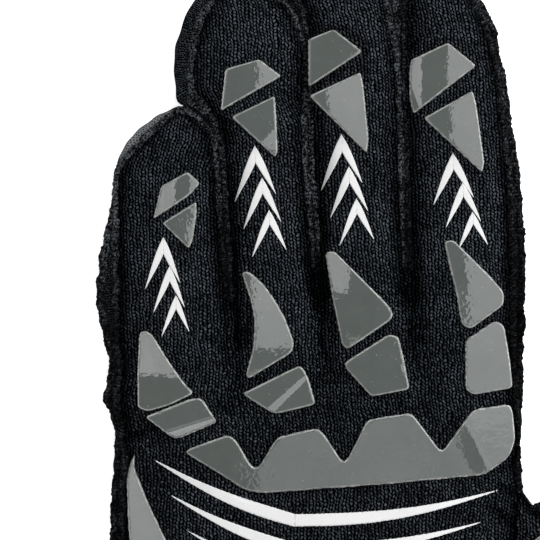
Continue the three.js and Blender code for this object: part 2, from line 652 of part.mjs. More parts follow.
function fromManifold(solid) {
  const mesh = solid.getMesh();
  const geometry = new THREE.BufferGeometry();
  geometry.setAttribute('position', new THREE.Float32BufferAttribute(mesh.vertProperties, 3));
  geometry.setIndex([...mesh.triVerts]);
  return geometry;
}

function layerOver(surface) {
  const raise = (amount) => (corner) => [corner.outer[0], corner.outer[1], corner.outer[2] + amount];
  return toManifold(surface.geometry(raise(CLEARANCE + PAD_THICKNESS), raise(CLEARANCE)));
}

function padGeometry(layer, outline) {
  const shape = new THREE.Shape(outline.map(([x, y]) => new THREE.Vector2(x, y)));
  const prism = new THREE.ExtrudeGeometry(shape, { depth: 40, bevelEnabled: false });
  return fromManifold(layer.intersect(toManifold(prism)));
}

const backLayer = layerOver(backSurface);
for (const [name, outline] of Object.entries(PADS)) {
  addPiece(name, padGeometry(backLayer, outline), 'rubber');
}
addPiece('thumb_pad', padGeometry(layerOver(thumbBack), THUMB_PAD), 'rubber');

export default glove;
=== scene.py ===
"""Motorsport racing glove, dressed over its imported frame.

Lengths in the tables are millimetres, as in the part's source. +X runs from the little finger to the thumb,
+Y to the fingertips and +Z up from the surface that the glove lies on.
"""

import math

import bpy
import numpy as np
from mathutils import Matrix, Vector
from bpy.props import FloatProperty, FloatVectorProperty, IntProperty, PointerProperty


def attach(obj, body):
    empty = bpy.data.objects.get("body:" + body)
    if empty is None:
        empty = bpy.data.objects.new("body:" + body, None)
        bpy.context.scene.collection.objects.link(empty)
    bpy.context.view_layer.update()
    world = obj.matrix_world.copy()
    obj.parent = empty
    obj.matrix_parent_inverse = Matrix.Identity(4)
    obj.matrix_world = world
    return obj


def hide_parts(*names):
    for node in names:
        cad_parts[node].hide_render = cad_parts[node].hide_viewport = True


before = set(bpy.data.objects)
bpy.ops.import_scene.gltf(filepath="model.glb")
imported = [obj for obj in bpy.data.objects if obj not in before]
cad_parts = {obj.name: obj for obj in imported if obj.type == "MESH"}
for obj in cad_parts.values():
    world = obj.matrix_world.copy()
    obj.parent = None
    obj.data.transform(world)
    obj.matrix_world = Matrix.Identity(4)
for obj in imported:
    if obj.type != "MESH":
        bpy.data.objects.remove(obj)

bl_info = {
    "name": "Racing glove",
    "version": (1, 0, 0),
    "blender": (4, 5, 0),
    "location": "View3D > Sidebar > Glove",
    "description": "Knit back, moulded pads, raised seams and printed film of a racing glove",
    "category": "Add Mesh",
}

MM = 0.001
MAP_SCALE = 0.01
UP = np.array([0.0, 0.0, 1.0])

# Outline tables. Columns: y, left edge, right edge, seam inside the left edge, seam inside the right edge.

FINGERS = {
    "little": {
        "crown": 13.5, "side": 7.6, "tip": (-34.6, 75.4), "round_end": 14.0,
        "left_crotch": 0, "right_crotch": 0,
        "rows": np.array([
            (27.0, -56.4, -22.9, 5.1, 0.8), (35.2, -55.8, -23.7, 4.3, 0.8), (43.4, -54.2, -24.2, 2.9, 0.8),
            (51.0, -53.0, -24.7, 1.8, 0.8), (58.1, -51.8, -25.2, 1.0, 0.8), (63.8, -50.0, -25.7, 2.3, 0.8),
            (67.8, -47.3, -26.6, 3.3, 1.0), (71.4, -43.4, -28.6, 3.3, 1.5), (73.8, -38.8, -31.1, 2.3, 1.8),
        ]),
    },
    "ring": {
        "crown": 14.5, "side": 7.6, "tip": (-18.4, 107.2), "round_end": 16.0,
        "left_crotch": 0, "right_crotch": 1,
        "rows": np.array([
            (27.0, -22.3, 0.2, 0.8, 0.8), (35.2, -23.1, -0.5, 0.8, 0.8), (47.0, -23.8, -1.6, 0.8, 0.8),
            (58.1, -24.6, -2.4, 0.8, 0.8), (65.8, -25.3, -2.8, 0.9, 0.8), (71.0, -27.4, -3.0, 1.5, 0.8),
            (74.4, -31.0, -3.0, 2.8, 0.8), (76.9, -35.2, -2.9, 4.1, 0.8), (84.0, -36.3, -2.8, 4.1, 0.8),
            (90.0, -35.7, -3.2, 4.1, 0.8), (95.6, -34.4, -4.6, 4.1, 1.0), (100.7, -32.1, -6.9, 4.1, 1.3),
            (104.3, -28.6, -9.9, 3.4, 2.0), (106.3, -24.0, -13.6, 2.3, 2.0),
        ]),
    },
    "middle": {
        "crown": 15.0, "side": 7.6, "tip": (5.0, 115.0), "round_end": 16.0,
        "left_crotch": 1, "right_crotch": 1,
        "rows": np.array([
            (27.0, 0.8, 23.4, 0.8, 0.8), (35.2, 0.1, 22.7, 0.8, 0.8), (47.0, -1.0, 22.1, 0.8, 0.8),
            (58.1, -1.8, 21.8, 0.7, 0.8), (66.3, -2.2, 21.7, 0.6, 0.8), (76.5, -2.2, 21.5, 0.5, 0.8),
            (86.7, -2.1, 21.3, 0.5, 1.6), (92.3, -2.6, 21.1, 0.6, 2.3), (97.0, -4.0, 20.9, 1.2, 3.1),
            (101.4, -6.1, 20.4, 1.9, 3.3), (105.6, -7.7, 19.2, 2.4, 3.1), (110.2, -6.6, 16.8, 2.5, 2.6),
            (112.9, -4.0, 13.4, 2.3, 2.3), (114.3, -0.5, 10.2, 2.0, 2.0),
        ]),
    },
    "index": {
        "crown": 14.5, "side": 7.6, "tip": (30.4, 108.9), "round_end": 15.0,
        "left_crotch": 1, "right_crotch": 0,
        "rows": np.array([
            (27.0, 24.0, 52.7, 0.8, 3.4), (35.2, 23.3, 52.8, 0.8, 3.4), (47.0, 22.7, 52.4, 0.8, 3.3),
            (58.1, 22.4, 51.5, 0.8, 3.1), (66.3, 22.3, 50.2, 0.7, 2.8), (74.7, 22.1, 49.2, 0.6, 2.5),
            (81.6, 22.0, 48.3, 0.6, 2.5), (88.4, 21.9, 46.7, 0.7, 2.5), (94.6, 21.7, 45.4, 0.8, 2.5),
            (100.0, 21.7, 43.2, 1.0, 2.5), (103.5, 22.1, 40.7, 1.5, 2.3), (106.3, 23.8, 37.6, 2.0, 2.3),
            (108.1, 26.6, 34.3, 2.0, 2.0),
        ]),
    },
}
HAND_ROWS = np.array([
    (19.9, -55.6, 52.7, 4.5, 3.4), (13.8, -54.2, 52.4, 3.3, 3.2), (7.4, -53.1, 52.5, 2.8, 3.1),
    (0.8, -54.5, 52.4, 3.3, 2.4), (-6.9, -52.3, 52.0, 2.3, 1.2), (-14.5, -52.0, 51.7, 2.5, 1.0),
    (-23.0, -52.5, 52.6, 3.1, 1.0), (-31.5, -52.9, 51.5, 3.3, 0.8), (-42.0, -52.4, 50.7, 3.3, 0.8),
    (-54.0, -51.3, 49.5, 3.1, 0.8), (-66.0, -49.5, 47.9, 2.8, 1.0), (-76.5, -47.9, 46.2, 2.5, 1.4),
    (-85.7, -46.8, 44.4, 2.5, 2.0), (-95.1, -45.9, 43.1, 2.3, 2.3),
])

# Thumb. Columns: x and y of the upper edge, x and y of the lower edge, seam inside both edges.

THUMB = {
    "crown": 14.5, "side": 7.8, "tip": (106.0, 5.0), "round_end": 15.0,
    "rows": np.array([
        (55.6, -27.0, 55.5, -64.5, 1.6), (62.2, -22.4, 65.0, -58.0, 2.2), (71.0, -14.6, 76.0, -47.0, 2.2),
        (79.5, -6.6, 86.0, -36.2, 2.2), (87.2, 1.2, 95.0, -25.6, 2.2), (93.4, 6.6, 102.0, -15.6, 2.2),
        (98.6, 8.8, 106.0, -7.6, 2.0), (102.8, 8.0, 107.2, -1.6, 1.8),
    ]),
}
THUMB_FIRST_ROW, THUMB_LAST_ROW = 6, 10

# Moulded pads. The outline of each is split at its ends along the sweep axis, and swept from end to end.
# Columns: sweep axis, corner radius, tilt to the right and to the fingertips, bend across and along in each
# millimetre, folds, outline. A fold's columns: x and y of a point on it, the way that it falls in degrees,
# width, turn.

PADS = {
    "little_tip_pad": ("y", 0.8, (-0.022, 0.02), (0.0264, 0.004), (), [
        (-40.0, 54.5), (-33.2, 58.2), (-30.0, 55.3), (-32.6, 52.3), (-36.3, 49.8), (-42.0, 46.1)]),
    "little_mid_pad": ("y", 0.8, (0.068, 0.03), (0.003, 0.003), (), [
        (-39.7, 45.1), (-31.0, 50.6), (-30.9, 47.7), (-31.9, 40.8), (-32.9, 38.5)]),
    "little_shield": ("y", 1.2, (-0.08, 0.017), (0.006, 0.01), (), [
        (-45.5, 17.3), (-43.7, 17.7), (-42.1, 16.5), (-38.1, 10.0), (-33.8, 4.0), (-31.5, 1.8), (-38.1, -1.4),
        (-43.4, -2.9), (-45.9, -2.0), (-46.0, 6.6)]),
    "little_base_pad": ("x", 1.2, (-0.02, 0), (0.003, 0.004), ((-35, -6.9, -72, 0.5, 0.29),), [
        (-44.1, -4.2), (-32.4, 0.4), (-29.6, 0.6), (-25.6, -5.6), (-35.2, -9.6), (-37.0, -9.6)]),
    "ring_tip_pad": ("y", 0.8, (0.045, 0.03), (0.008, 0.003), (), [
        (-23.6, 84.3), (-15.0, 86.8), (-9.3, 82.5), (-24.8, 73.6)]),
    "ring_mid_pad": ("y", 0.8, (0.03, 0.03), (0.003, 0.003), ((-13.2, 67, -58, 0.6, 0.075),), [
        (-22.1, 72.1), (-11.0, 77.5), (-10.6, 71.7), (-10.3, 63.2), (-10.9, 61.8)]),
    "ring_shield": ("y", 1.2, (0.085, 0.049), (0.006, 0.009), (), [
        (-19.5, 32.4), (-18.3, 32.9), (-16.8, 32.2), (-13.5, 29.1), (-10.7, 25.0), (-8.4, 20.9), (-6.1, 14.8),
        (-6.6, 12.2), (-17.6, 5.5), (-18.4, 6.4), (-16.6, 13.3), (-16.2, 17.9), (-16.3, 21.7),
        (-17.3, 26.0)]),
    "ring_base_pad": ("y", 1.2, (0, 0), (0.004, 0.003), (
        (-9, 1.6, -47, 0.4, -0.17), (-7.9, 0.3, -47, 0.4, 0.17)), [
        (-19.4, 1.7), (-5.1, 8.8), (-3.8, 8.3), (-2.3, 5.1), (-0.6, -1.0), (-10.5, -3.4), (-12.2, -2.9)]),
    "middle_tip_pad": ("y", 0.8, (0, 0.02), (0.006, 0.003), (), [
        (-2.5, 92.0), (4.0, 94.6), (11.4, 88.9), (-2.5, 79.7)]),
    "middle_mid_pad": ("y", 0.8, (0.078, 0.03), (0.012, 0.004), (), [
        (-2.3, 77.4), (10.8, 83.5), (11.5, 80.1), (12.8, 66.8), (12.4, 62.8)]),
    "middle_shield": ("y", 1.2, (-0.05, -0.022), (0.009, 0.005), (), [
        (1.8, 37.7), (4.1, 38.0), (17.7, 24.4), (19.1, 22.2), (18.6, 20.5), (7.5, 12.9), (6.1, 14.0),
        (3.7, 25.8)]),
    "middle_base_pad": ("y", 1.2, (0, 0), (0.003, 0.003), (), [
        (6.8, 9.7), (17.9, 16.8), (20.4, 16.3), (21.6, 11.5), (23.3, 2.8), (13.5, 0.9), (6.9, 8.3)]),
    "index_tip_pad": ("y", 0.8, (-0.008, 0.03), (0.0165, 0.003), ((25, 77, 203, 0.25, 0.17),), [
        (23.7, 86.7), (33.1, 91.1), (40.3, 85.2), (24.3, 72.9), (23.3, 77.0), (23.3, 84.2)]),
    "index_mid_pad": ("y", 0.8, (0.026, 0.03), (0.012, 0.003), (), [
        (26.8, 71.8), (39.3, 78.8), (40.2, 75.5), (42.3, 60.4), (41.7, 57.9)]),
    "index_shield": ("y", 1.2, (0.022, 0.03), (0.006, 0.004), (), [
        (32.0, 40.4), (34.4, 40.9), (44.1, 31.2), (47.3, 27.4), (47.1, 24.2), (38.8, 18.1), (36.5, 19.1),
        (35.2, 26.9), (33.4, 34.0)]),
    "index_base_pad": ("y", 1.2, (0.15, 0.03), (0.003, 0.003), (), [
        (37.5, 15.3), (45.1, 20.3), (47.4, 19.1), (48.9, 10.2), (49.6, 3.1), (39.5, 1.3), (37.5, 2.8)]),
    "knuckle_bar": ("x", 1.5, (0, -0.09), (0.002, 0.001), (
        (36.4, -14.4, 38.5, 0.22, 0.038), (40.8, -11.7, 26.6, 0.3, 0.165)), [
        (-33.9, -13.3), (-32.9, -12.3), (-22.9, -8.7), (-20.9, -9.9), (-17.1, -16.6), (-15.9, -17.2),
        (-14.8, -16.6), (-10.5, -9.3), (0.0, -6.9), (2.0, -9.2), (5.9, -15.3), (6.5, -15.6), (7.3, -15.2),
        (12.5, -4.8), (23.7, -3.1), (30.5, -12.1), (31.3, -12.8), (32.1, -12.2), (39.4, -2.3), (48.8, -1.0),
        (49.6, -3.1), (50.2, -10.2), (48.6, -14.5), (42.3, -18.9), (14.9, -21.4), (-14.1, -23.5),
        (-18.4, -22.9), (-25.2, -18.6)]),
    "side_pad": ("y", 1.5, (-0.1, 0.12), (0.004, 0.002), (), [
        (-46.7, -13.4), (-47.0, -17.3), (-43.9, -25.0), (-40.3, -32.6), (-35.7, -42.3), (-34.2, -48.5),
        (-36.7, -54.1), (-42.8, -57.1), (-45.9, -54.1), (-47.4, -44.6), (-48.1, -35.7), (-48.7, -26.0),
        (-48.8, -20.0), (-48.2, -16.8)]),
    "thumb_pad": ("x", 1.5, (0, 0), (0.012, 0.002), (), [
        (54.8, -35.4), (66.4, -29.6), (84.6, -13.4), (86.2, -19.6), (77.0, -33.4), (64.6, -46.4),
        (57.4, -49.6)]),
}

# Printed chevrons, in stacks. Columns: point of the first chevron, step to the next, how many, reach of the
# left arm, reach of the right arm, how much the arms shrink from one to the next, widest width of an arm.

CHEVRON_STACKS = [
    ((-39.4, 39.4), (1.6, -7.2), 3, (-4.6, -11.0), (4.2, -9.4), 0.10, 2.3),
    ((-16.0, 62.6), (1.8, -8.0), 3, (-5.2, -12.0), (5.2, -10.0), 0.08, 2.5),
    ((6.0, 65.4), (1.9, -8.0), 3, (-5.2, -12.0), (5.2, -10.0), 0.08, 2.6),
    ((34.4, 60.8), (2.5, -7.2), 3, (-5.0, -11.0), (5.2, -9.2), 0.13, 2.5),
    ((-6.0, -30.4), (0.6, -7.4), 5, (-35.5, 15.0), (52.0, 7.4), 0.10, 4.0),
]

# Creases and folds of the cloth. Columns: x and y of both ends, width, height of the fold beside it, depth.

CREASES = np.array([
    (-21.2, 28.0, -19.8, 11.0, 0.7, 0.5, 1.0), (-18.3, 25.0, -17.6, 12.0, 0.6, 0.4, 0.8),
    (-23.6, 24.0, -22.8, 13.0, 0.6, 0.3, 0.5), (0.5, 29.0, 1.8, 9.0, 0.8, 0.45, 0.9),
    (3.4, 26.0, 4.2, 13.0, 0.6, 0.3, 0.6), (23.6, 29.0, 24.6, 11.0, 0.8, 0.45, 0.9),
    (26.2, 25.0, 26.6, 14.0, 0.6, 0.3, 0.6), (-44.6, -8.3, -27.0, -2.0, 0.75, 0.1, 1.6),
    (-55.0, -8.0, -44.0, -8.6, 0.9, 0.5, 0.9), (-27.5, -2.4, -20.5, -0.6, 1.0, 0.4, 0.7),
    (-55.0, 29.0, -48.5, 27.0, 0.7, 0.4, 0.8), (-54.5, 22.0, -49.0, 21.0, 0.7, 0.4, 0.7),
    (-55.5, 3.0, -47.5, 1.5, 0.8, 0.5, 0.9), (-53.5, -15.0, -47.0, -12.5, 0.9, 0.4, 0.7),
    (-25.0, 6.0, -18.0, 4.5, 0.9, 0.3, 0.4), (-6.0, 3.5, 1.0, 4.5, 0.9, 0.3, 0.4),
    (45.0, -21.5, 52.0, -25.0, 0.9, 0.4, 0.9), (42.0, -26.5, 52.0, -32.0, 1.0, 0.4, 0.9),
    (46.0, 22.0, 51.5, 24.5, 0.8, 0.3, 0.6), (-44.0, 62.0, -38.0, 66.5, 0.7, 0.5, 0.9),
    (-27.0, 92.0, -21.0, 96.5, 0.7, 0.4, 0.7),
])

# Walls and heights of the solids, from the part's source

PALM_WALL, BACK_WALL, SIDE_WALL = 1.5, 1.3, 1.2
SIDE_HEIGHT_HAND = 8.5
CROWN_KNUCKLES, CROWN_WRIST = 18.0, 15.0
ARCH_POWER = 3.4
TIP_DROP, CROTCH_DROP = 1.6, 0.8
FINGERS_START = FINGERS["little"]["rows"][0][0]
RIDGES_FADE_AT = -22.0
WRIST_Y = HAND_ROWS[-1][0]
CUFF_END = -121.0
THUMB_ROOT_X, THUMB_ROOT_LENGTH, THUMB_ROOT_ARCH, THUMB_GAP = 51.0, 5.0, 1.5, 0.2

# Sizes of the cloth. A place with no seam near it has the far distance.

PLAIN_SEAM = 0.8
HAND_WIDTH, FINGER_WIDTH, THUMB_WIDTH = 100, 26, 34
PALM_INSET, PALM_CELL = 0.6, 2.0
PLATE_REACH = 3.0
CLOTH_SLACK = 0.5
SHADE_REACH, CREASE_SHADE, FAR = 4.2, 3.7, 50.0
GATHER_HEIGHT, GATHER_REACH, GATHER_LENGTH = 0.30, 2.2, 3.4
GROOVE_DEPTH, GROOVE_AT = 0.55, 1.3
WEB_LENGTH, WEB_REACH = 8.2, 40.0
STRIP_STEP, STRIP_COLUMNS = 0.9, 15
STRIP_FOOT, STRIP_LAP, STRIP_CLIMBS = 0.7, 0.1, (0.0, 0.22, 0.5, 0.8, 1.0)
JOIN_ROWS = 8

# Sizes of the cuff and the pads

CUFF_OVERLAP, CUFF_TUCK, CUFF_WALL, CUFF_RADIUS = 1.6, 1.2, 1.6, 35
CUFF_ROWS, CUFF_SIDES = 60, 360
HEM_LENGTH, HEM_SWELL = 6.0, 0.6
RIBS, RIB_HEIGHT = 60, 0.22
PAD_WALL, PAD_SINK = 0.45, 0.5
PAD_GRID, BAR_GRID = (60, 50), (120, 56)

# Sizes of the cords, threads, hairs and film. The cords are slimmer between the fingers.

CORD_STEP, CORD_SIDES = 0.32, 14
CROTCHES_MIDDLE, CROTCHES_HALF, CROTCHES_TOP = -1.0, 37, 58
HAIR_STEPS = 6000
HAIR_RADII = (0.05, 0.04, 0.01)
THREAD_RADII = (0.04, 0.10, 0.11, 0.11, 0.10, 0.04)
FILM_LIFT, FILM_SINK, FILM_COLUMNS = 0.14, 0.1, 9


# Small helpers

def mix(a, b, share):
    """Straight blend from a to b."""
    return a + (b - a) * share


def smooth(value):
    """Soft step: 3t^2 - 2t^3 of the value held between 0 and 1."""
    value = np.clip(value, 0, 1)
    return value * value * (3 - 2 * value)


def through(points, at):
    """Smooth curve through the rows of points, read at the row numbers in `at`: every stretch is a cubic
    whose slope at a point is half the step from the point before it to the point after it."""
    points = np.asarray(points, float)
    at = np.clip(np.asarray(at, float), 0, len(points) - 1)
    first = np.minimum(at.astype(int), len(points) - 2)
    t = (at - first)[..., None]
    padded = np.concatenate([2 * points[:1] - points[1:2], points, 2 * points[-1:] - points[-2:-1]])
    a, b, c, d = (padded[first + step] for step in range(4))
    return 0.5 * (2 * b + (c - a) * t + (2 * a - 5 * b + 4 * c - d) * t**2 + (3 * b - a - 3 * c + d) * t**3)


def evenly(points, at, step):
    """Row numbers between the ends of `at` that lie about a step apart along the smooth curve, and the run
    of the curve up to each."""
    fine = np.linspace(at[0], at[1], int(abs(at[1] - at[0]) * 40) + 2)
    spots = through(points, fine)
    run = np.concatenate([[0], np.cumsum(np.linalg.norm(np.diff(spots, axis=0), axis=1))])
    marks = np.linspace(0, run[-1], max(3, int(run[-1] / step) + 2))
    return np.interp(marks, run, fine), marks


def waves(x, y, length, seed, count=14):
    """Soft unevenness between about -1 and 1: a sum of plane sine waves of about one length, each with its
    own direction and phase."""
    random = np.random.default_rng(seed)
    angle = random.uniform(0, 2 * math.pi, count)
    pitch = length * random.uniform(0.75, 1.4, count)
    phase = random.uniform(0, 2 * math.pi, count)
    place = np.multiply.outer(x, np.cos(angle) / pitch) + np.multiply.outer(y, np.sin(angle) / pitch)
    return np.sin(2 * math.pi * place + phase).sum(axis=-1) * math.sqrt(2 / count) * 0.7


def full_turn(count):
    """Angles that share a full turn evenly."""
    return np.arange(count) / count * 2 * math.pi


def jitter(run, length, seed):
    """Unevenness along a line: waves read along one direction."""
    return waves(run, np.zeros_like(run), length, seed)


# Heights of the back, from the same formulas as the part's source

def arch(share):
    """0 at the seams and 1 at the crown: 1 less the power of |2s - 1|."""
    return 1 - np.abs(2 * share - 1) ** ARCH_POWER


def finger_side(finger, reach):
    """Height of the seam: level, and lower by the square of how far round the tip it is."""
    return finger["side"] - TIP_DROP * np.clip(1 - reach / finger["round_end"], 0, 1) ** 2


def finger_crown(finger, reach):
    """Height of the crown: level, and rounded off as a quarter circle towards the tip."""
    q = np.clip(1 - reach / finger["round_end"], 0, 1)
    return mix(finger["side"], finger["crown"], np.sqrt(1 - q * q))


def finger_height(finger, reach, share):
    """Height of a finger's back: the arch from its seams up to its crown."""
    return mix(finger_side(finger, reach), finger_crown(finger, reach), arch(share))


def thumb_height(reach, share, rise):
    """Height of the thumb's back: a low arch at the hand, blended by the rise into the thumb's own arch."""
    return mix(SIDE_HEIGHT_HAND + THUMB_ROOT_ARCH * arch(share), finger_height(THUMB, reach, share), rise)


def ridge_share(y):
    """How much of the fingers' own ridges is left at a height down the hand: all at the fingers, none
    below."""
    return smooth((y - RIDGES_FADE_AT) / (FINGERS_START - RIDGES_FADE_AT))


def hand_side(finger, y):
    """Height of the hand's own seam: the finger's at the top, blended into the hand's."""
    return mix(SIDE_HEIGHT_HAND, finger["side"], ridge_share(y))


def hand_height(finger, finger_share, share, y):
    """Broad arch of the hand blended into the finger's own arch."""
    crown = mix(CROWN_WRIST, CROWN_KNUCKLES, smooth((y - WRIST_Y) / -WRIST_Y))
    broad = mix(SIDE_HEIGHT_HAND, crown, arch(share))
    ridge = mix(finger["side"], finger["crown"], arch(finger_share))
    return mix(broad, ridge, ridge_share(y))


def relief(x, y):
    """Slack of the cloth: long soft waves and a shorter, fainter set."""
    return 0.22 * waves(x, y, 26, 11) + 0.10 * waves(x, y, 9, 12)


def creases(x, y):
    """Creases: along each line a narrow valley, shallower to its ends, with a broader fold around it, both
    bell curves of the distance to the line. Gives the height and how deep in shadow the cloth lies, from 0 to
    1."""
    start, step = CREASES[:, :2], CREASES[:, 2:4] - CREASES[:, :2]
    width, fold, depth = CREASES[:, 4:].T
    offset_x, offset_y = np.asarray(x)[..., None] - start[:, 0], np.asarray(y)[..., None] - start[:, 1]
    length = np.linalg.norm(step, axis=1)
    share = (offset_x * step[:, 0] + offset_y * step[:, 1]) / length**2
    bow = 0.35 * np.sin(share * 7)
    away = (offset_x * step[:, 1] - offset_y * step[:, 0]) / length + bow
    ends = np.exp(-(np.abs(2 * share - 1) / 0.95) ** 4)
    valley = np.exp(-((away / width) ** 2))
    shoulder = np.exp(-((away / (2.2 * width)) ** 2))
    height = (ends * (1.5 * fold * shoulder - (depth + fold) * valley)).sum(-1)
    return height, np.minimum((ends * np.minimum(depth, 1.0) * np.sqrt(valley)).sum(-1), 1.0)


class Outline:
    """The walk round the glove, clockwise from the left end of the cuff: one stop for each table row, with
    the seam's inset, the seam's height and the way inwards."""

    def __init__(self):
        labels, stops = [], []

        def stop(label, x, y, seam, side):
            """Adds a named stop."""
            labels.append(label)
            stops.append((x, y, seam, float(side)))

        fingers = list(FINGERS.items())
        for number in reversed(range(len(HAND_ROWS))):
            y, left, _right, seam, _ = HAND_ROWS[number]
            stop(f"hand left {number}", left, y, seam, hand_side(fingers[0][1], y))
        for place, (name, finger) in enumerate(fingers):
            rows, (tip_x, tip_y) = finger["rows"], finger["tip"]
            for number in range(finger["left_crotch"], len(rows)):
                y, left, _right, seam, _ = rows[number]
                stop(f"{name} left {number}", left, y, seam, finger_side(finger, tip_y - y))
            stop(f"{name} tip", tip_x, tip_y, rows[-1][3], finger_side(finger, 0))
            for number in reversed(range(finger["right_crotch"], len(rows))):
                y, _left, right, _, seam = rows[number]
                stop(f"{name} right {number}", right, y, seam, finger_side(finger, tip_y - y))
            if place + 1 < len(fingers):
                neighbour = fingers[place + 1][1]
                y, right = rows[finger["right_crotch"]][0], rows[finger["right_crotch"]][2]
                left = neighbour["rows"][neighbour["left_crotch"]][1]
                stop(f"{name} crotch", (right + left) / 2, y - CROTCH_DROP, PLAIN_SEAM, finger["side"])
        for number in range(THUMB_FIRST_ROW + 1):
            y, _left, right, _, seam = HAND_ROWS[number]
            stop(f"hand right {number}", right, y, seam, hand_side(fingers[-1][1], y))
        reach = thumb_reach()
        for number, (x, y, _x, _y, seam) in enumerate(THUMB["rows"]):
            stop(f"thumb upper {number}", x, y, seam, finger_side(THUMB, reach[number]))
        stop("thumb tip", *THUMB["tip"], THUMB["rows"][-1][4], finger_side(THUMB, 0))
        for number, (_x, _y, x, y, seam) in reversed(list(enumerate(THUMB["rows"]))):
            stop(f"thumb lower {number}", x, y, seam, finger_side(THUMB, reach[number]))
        for number in range(THUMB_LAST_ROW, len(HAND_ROWS)):
            y, _left, right, _, seam = HAND_ROWS[number]
            stop(f"hand right {number}", right, y, seam, hand_side(fingers[-1][1], y))

        self.number = {label: place for place, label in enumerate(labels)}
        self.stops = np.array(stops)
        steps = np.diff(self.stops[:, :2], axis=0)
        steps = steps / np.linalg.norm(steps, axis=1, keepdims=True)
        along = np.concatenate([steps[:1], steps[:-1] + steps[1:], steps[-1:]])
        turned = np.linalg.norm(along, axis=1) < 0.3
        across = self.stops[2:, :2] - self.stops[:-2, :2]
        along[1:-1][turned[1:-1]] = across[turned[1:-1]]
        along = along / np.linalg.norm(along, axis=1, keepdims=True)
        self.inward = np.stack([along[:, 1], -along[:, 0]], axis=1)
        self.inward[0], self.inward[-1] = (1, 0), (-1, 0)

    def edge(self, label, inset=None):
        """Place of a named stop moved inwards, by its seam's inset where none is given."""
        at = self.number[label]
        return self.stops[at, :2] + self.inward[at] * (self.stops[at, 2] if inset is None else inset)

    def read(self, at):
        """Place, way inwards, seam inset and seam height at places between the stops."""
        both = through(self.stops, at)
        inward = through(self.inward, at)
        inward = inward / np.linalg.norm(inward, axis=-1, keepdims=True)
        return both[..., :2], inward, np.maximum(both[..., 2], 0.3), both[..., 3]

    def between(self, start, end, step):
        """Places along the outline from one named stop to another, a step apart, and their run."""
        return evenly(self.stops[:, :2], (self.number[start], self.number[end]), step)


def thumb_reach():
    """Distance from the middle of each thumb row to the thumb's tip."""
    rows = THUMB["rows"]
    middle = (rows[:, 0:2] + rows[:, 2:4]) / 2
    return np.linalg.norm(middle - np.array(THUMB["tip"]), axis=1)


OUTLINE = Outline()


def finger_loop(name, inset=None):
    """Corners of a finger's panel, up its left seam to the tip and down its right seam."""
    rows = FINGERS[name]["rows"]

    def corner(side, number):
        """Corner of a row on one side."""
        label = f"{name} {side} {number}"
        if label in OUTLINE.number:
            return OUTLINE.edge(label, inset)
        y, left, right = rows[number][:3]
        return np.array([left + PLAIN_SEAM, y] if side == "left" else [right - PLAIN_SEAM, y])

    left, right = ([corner(side, number) for number in range(len(rows))] for side in ("left", "right"))
    return np.array([*left, OUTLINE.edge(f"{name} tip", inset), *right[::-1]])


def thumb_loop(inset=None):
    """Corners of the thumb's panel, out along its upper seam to the tip and back along its lower seam."""
    upper, lower = (
        [OUTLINE.edge(f"thumb {side} {number}", inset) for number in range(len(THUMB["rows"]))]
        for side in ("upper", "lower"))
    return np.array([*upper, OUTLINE.edge("thumb tip", inset), *lower[::-1]])


def hand_edges(inset=None):
    """Corners of the hand's panel down its left and its right side, from the fingers' first row."""
    def corner(side, number):
        """Corner of a row on one side."""
        label = f"hand {side} {number}"
        if label in OUTLINE.number:
            return OUTLINE.edge(label, inset)
        row = HAND_ROWS[number]
        return np.array([row[2] - (row[4] if inset is None else inset), row[0]])

    tops = {"left": finger_loop("little", inset)[0], "right": finger_loop("index", inset)[-1]}
    numbers = range(len(HAND_ROWS))
    return [np.array([top] + [corner(side, number) for number in numbers]) for side, top in tops.items()]


LOOPS = {name: finger_loop(name) for name in FINGERS}
HAND_LEFT, HAND_RIGHT = hand_edges()


def height_at(x, y):
    """Height of the back over any place: the finger or the hand's column that the place falls in, read with
    the same arches as the panel itself."""
    x, y = np.broadcast_arrays(np.asarray(x, float), np.asarray(y, float))
    result = np.zeros(x.shape)
    fine = np.linspace(0, len(HAND_LEFT) - 1, 600)
    left, right = through(HAND_LEFT, fine), through(HAND_RIGHT, fine)
    in_hand = y < FINGERS_START
    edge_left = np.interp(-y, -left[:, 1], left[:, 0])
    edge_right = np.interp(-y, -right[:, 1], right[:, 0])
    share = np.clip((x - edge_left) / (edge_right - edge_left), 0, 1)
    top_x = mix(LOOPS["little"][0][0], LOOPS["index"][-1][0], share)
    lanes = [(name, LOOPS[name][0][0], LOOPS[name][-1][0]) for name in FINGERS]
    bounds = [(one[2] + other[1]) / 2 for one, other in zip(lanes[:-1], lanes[1:])]
    lane = np.digitize(top_x, bounds)
    for number, (name, first, last) in enumerate(lanes):
        here = in_hand & (lane == number)
        finger_share = np.clip((top_x - first) / (last - first), 0, 1)
        result = np.where(here, hand_height(FINGERS[name], finger_share, share, y), result)
    for name, finger in FINGERS.items():
        count = len(finger["rows"])
        fine = np.linspace(0, count, 500)
        level = through(np.append(finger["rows"][:, 0], finger["tip"][1])[:, None], fine)[:, 0]
        left, right = through(LOOPS[name], fine), through(LOOPS[name], 2 * count - fine)
        edge_left, edge_right = np.interp(y, level, left[:, 0]), np.interp(y, level, right[:, 0])
        share = np.clip((x - edge_left) / np.maximum(edge_right - edge_left, 0.1), 0, 1)
        height = finger_height(finger, np.maximum(finger["tip"][1] - y, 0), share)
        here = ~in_hand & (x > edge_left - 2) & (x < edge_right + 2)
        result = np.where(here & (height > result), height, result)
    return result


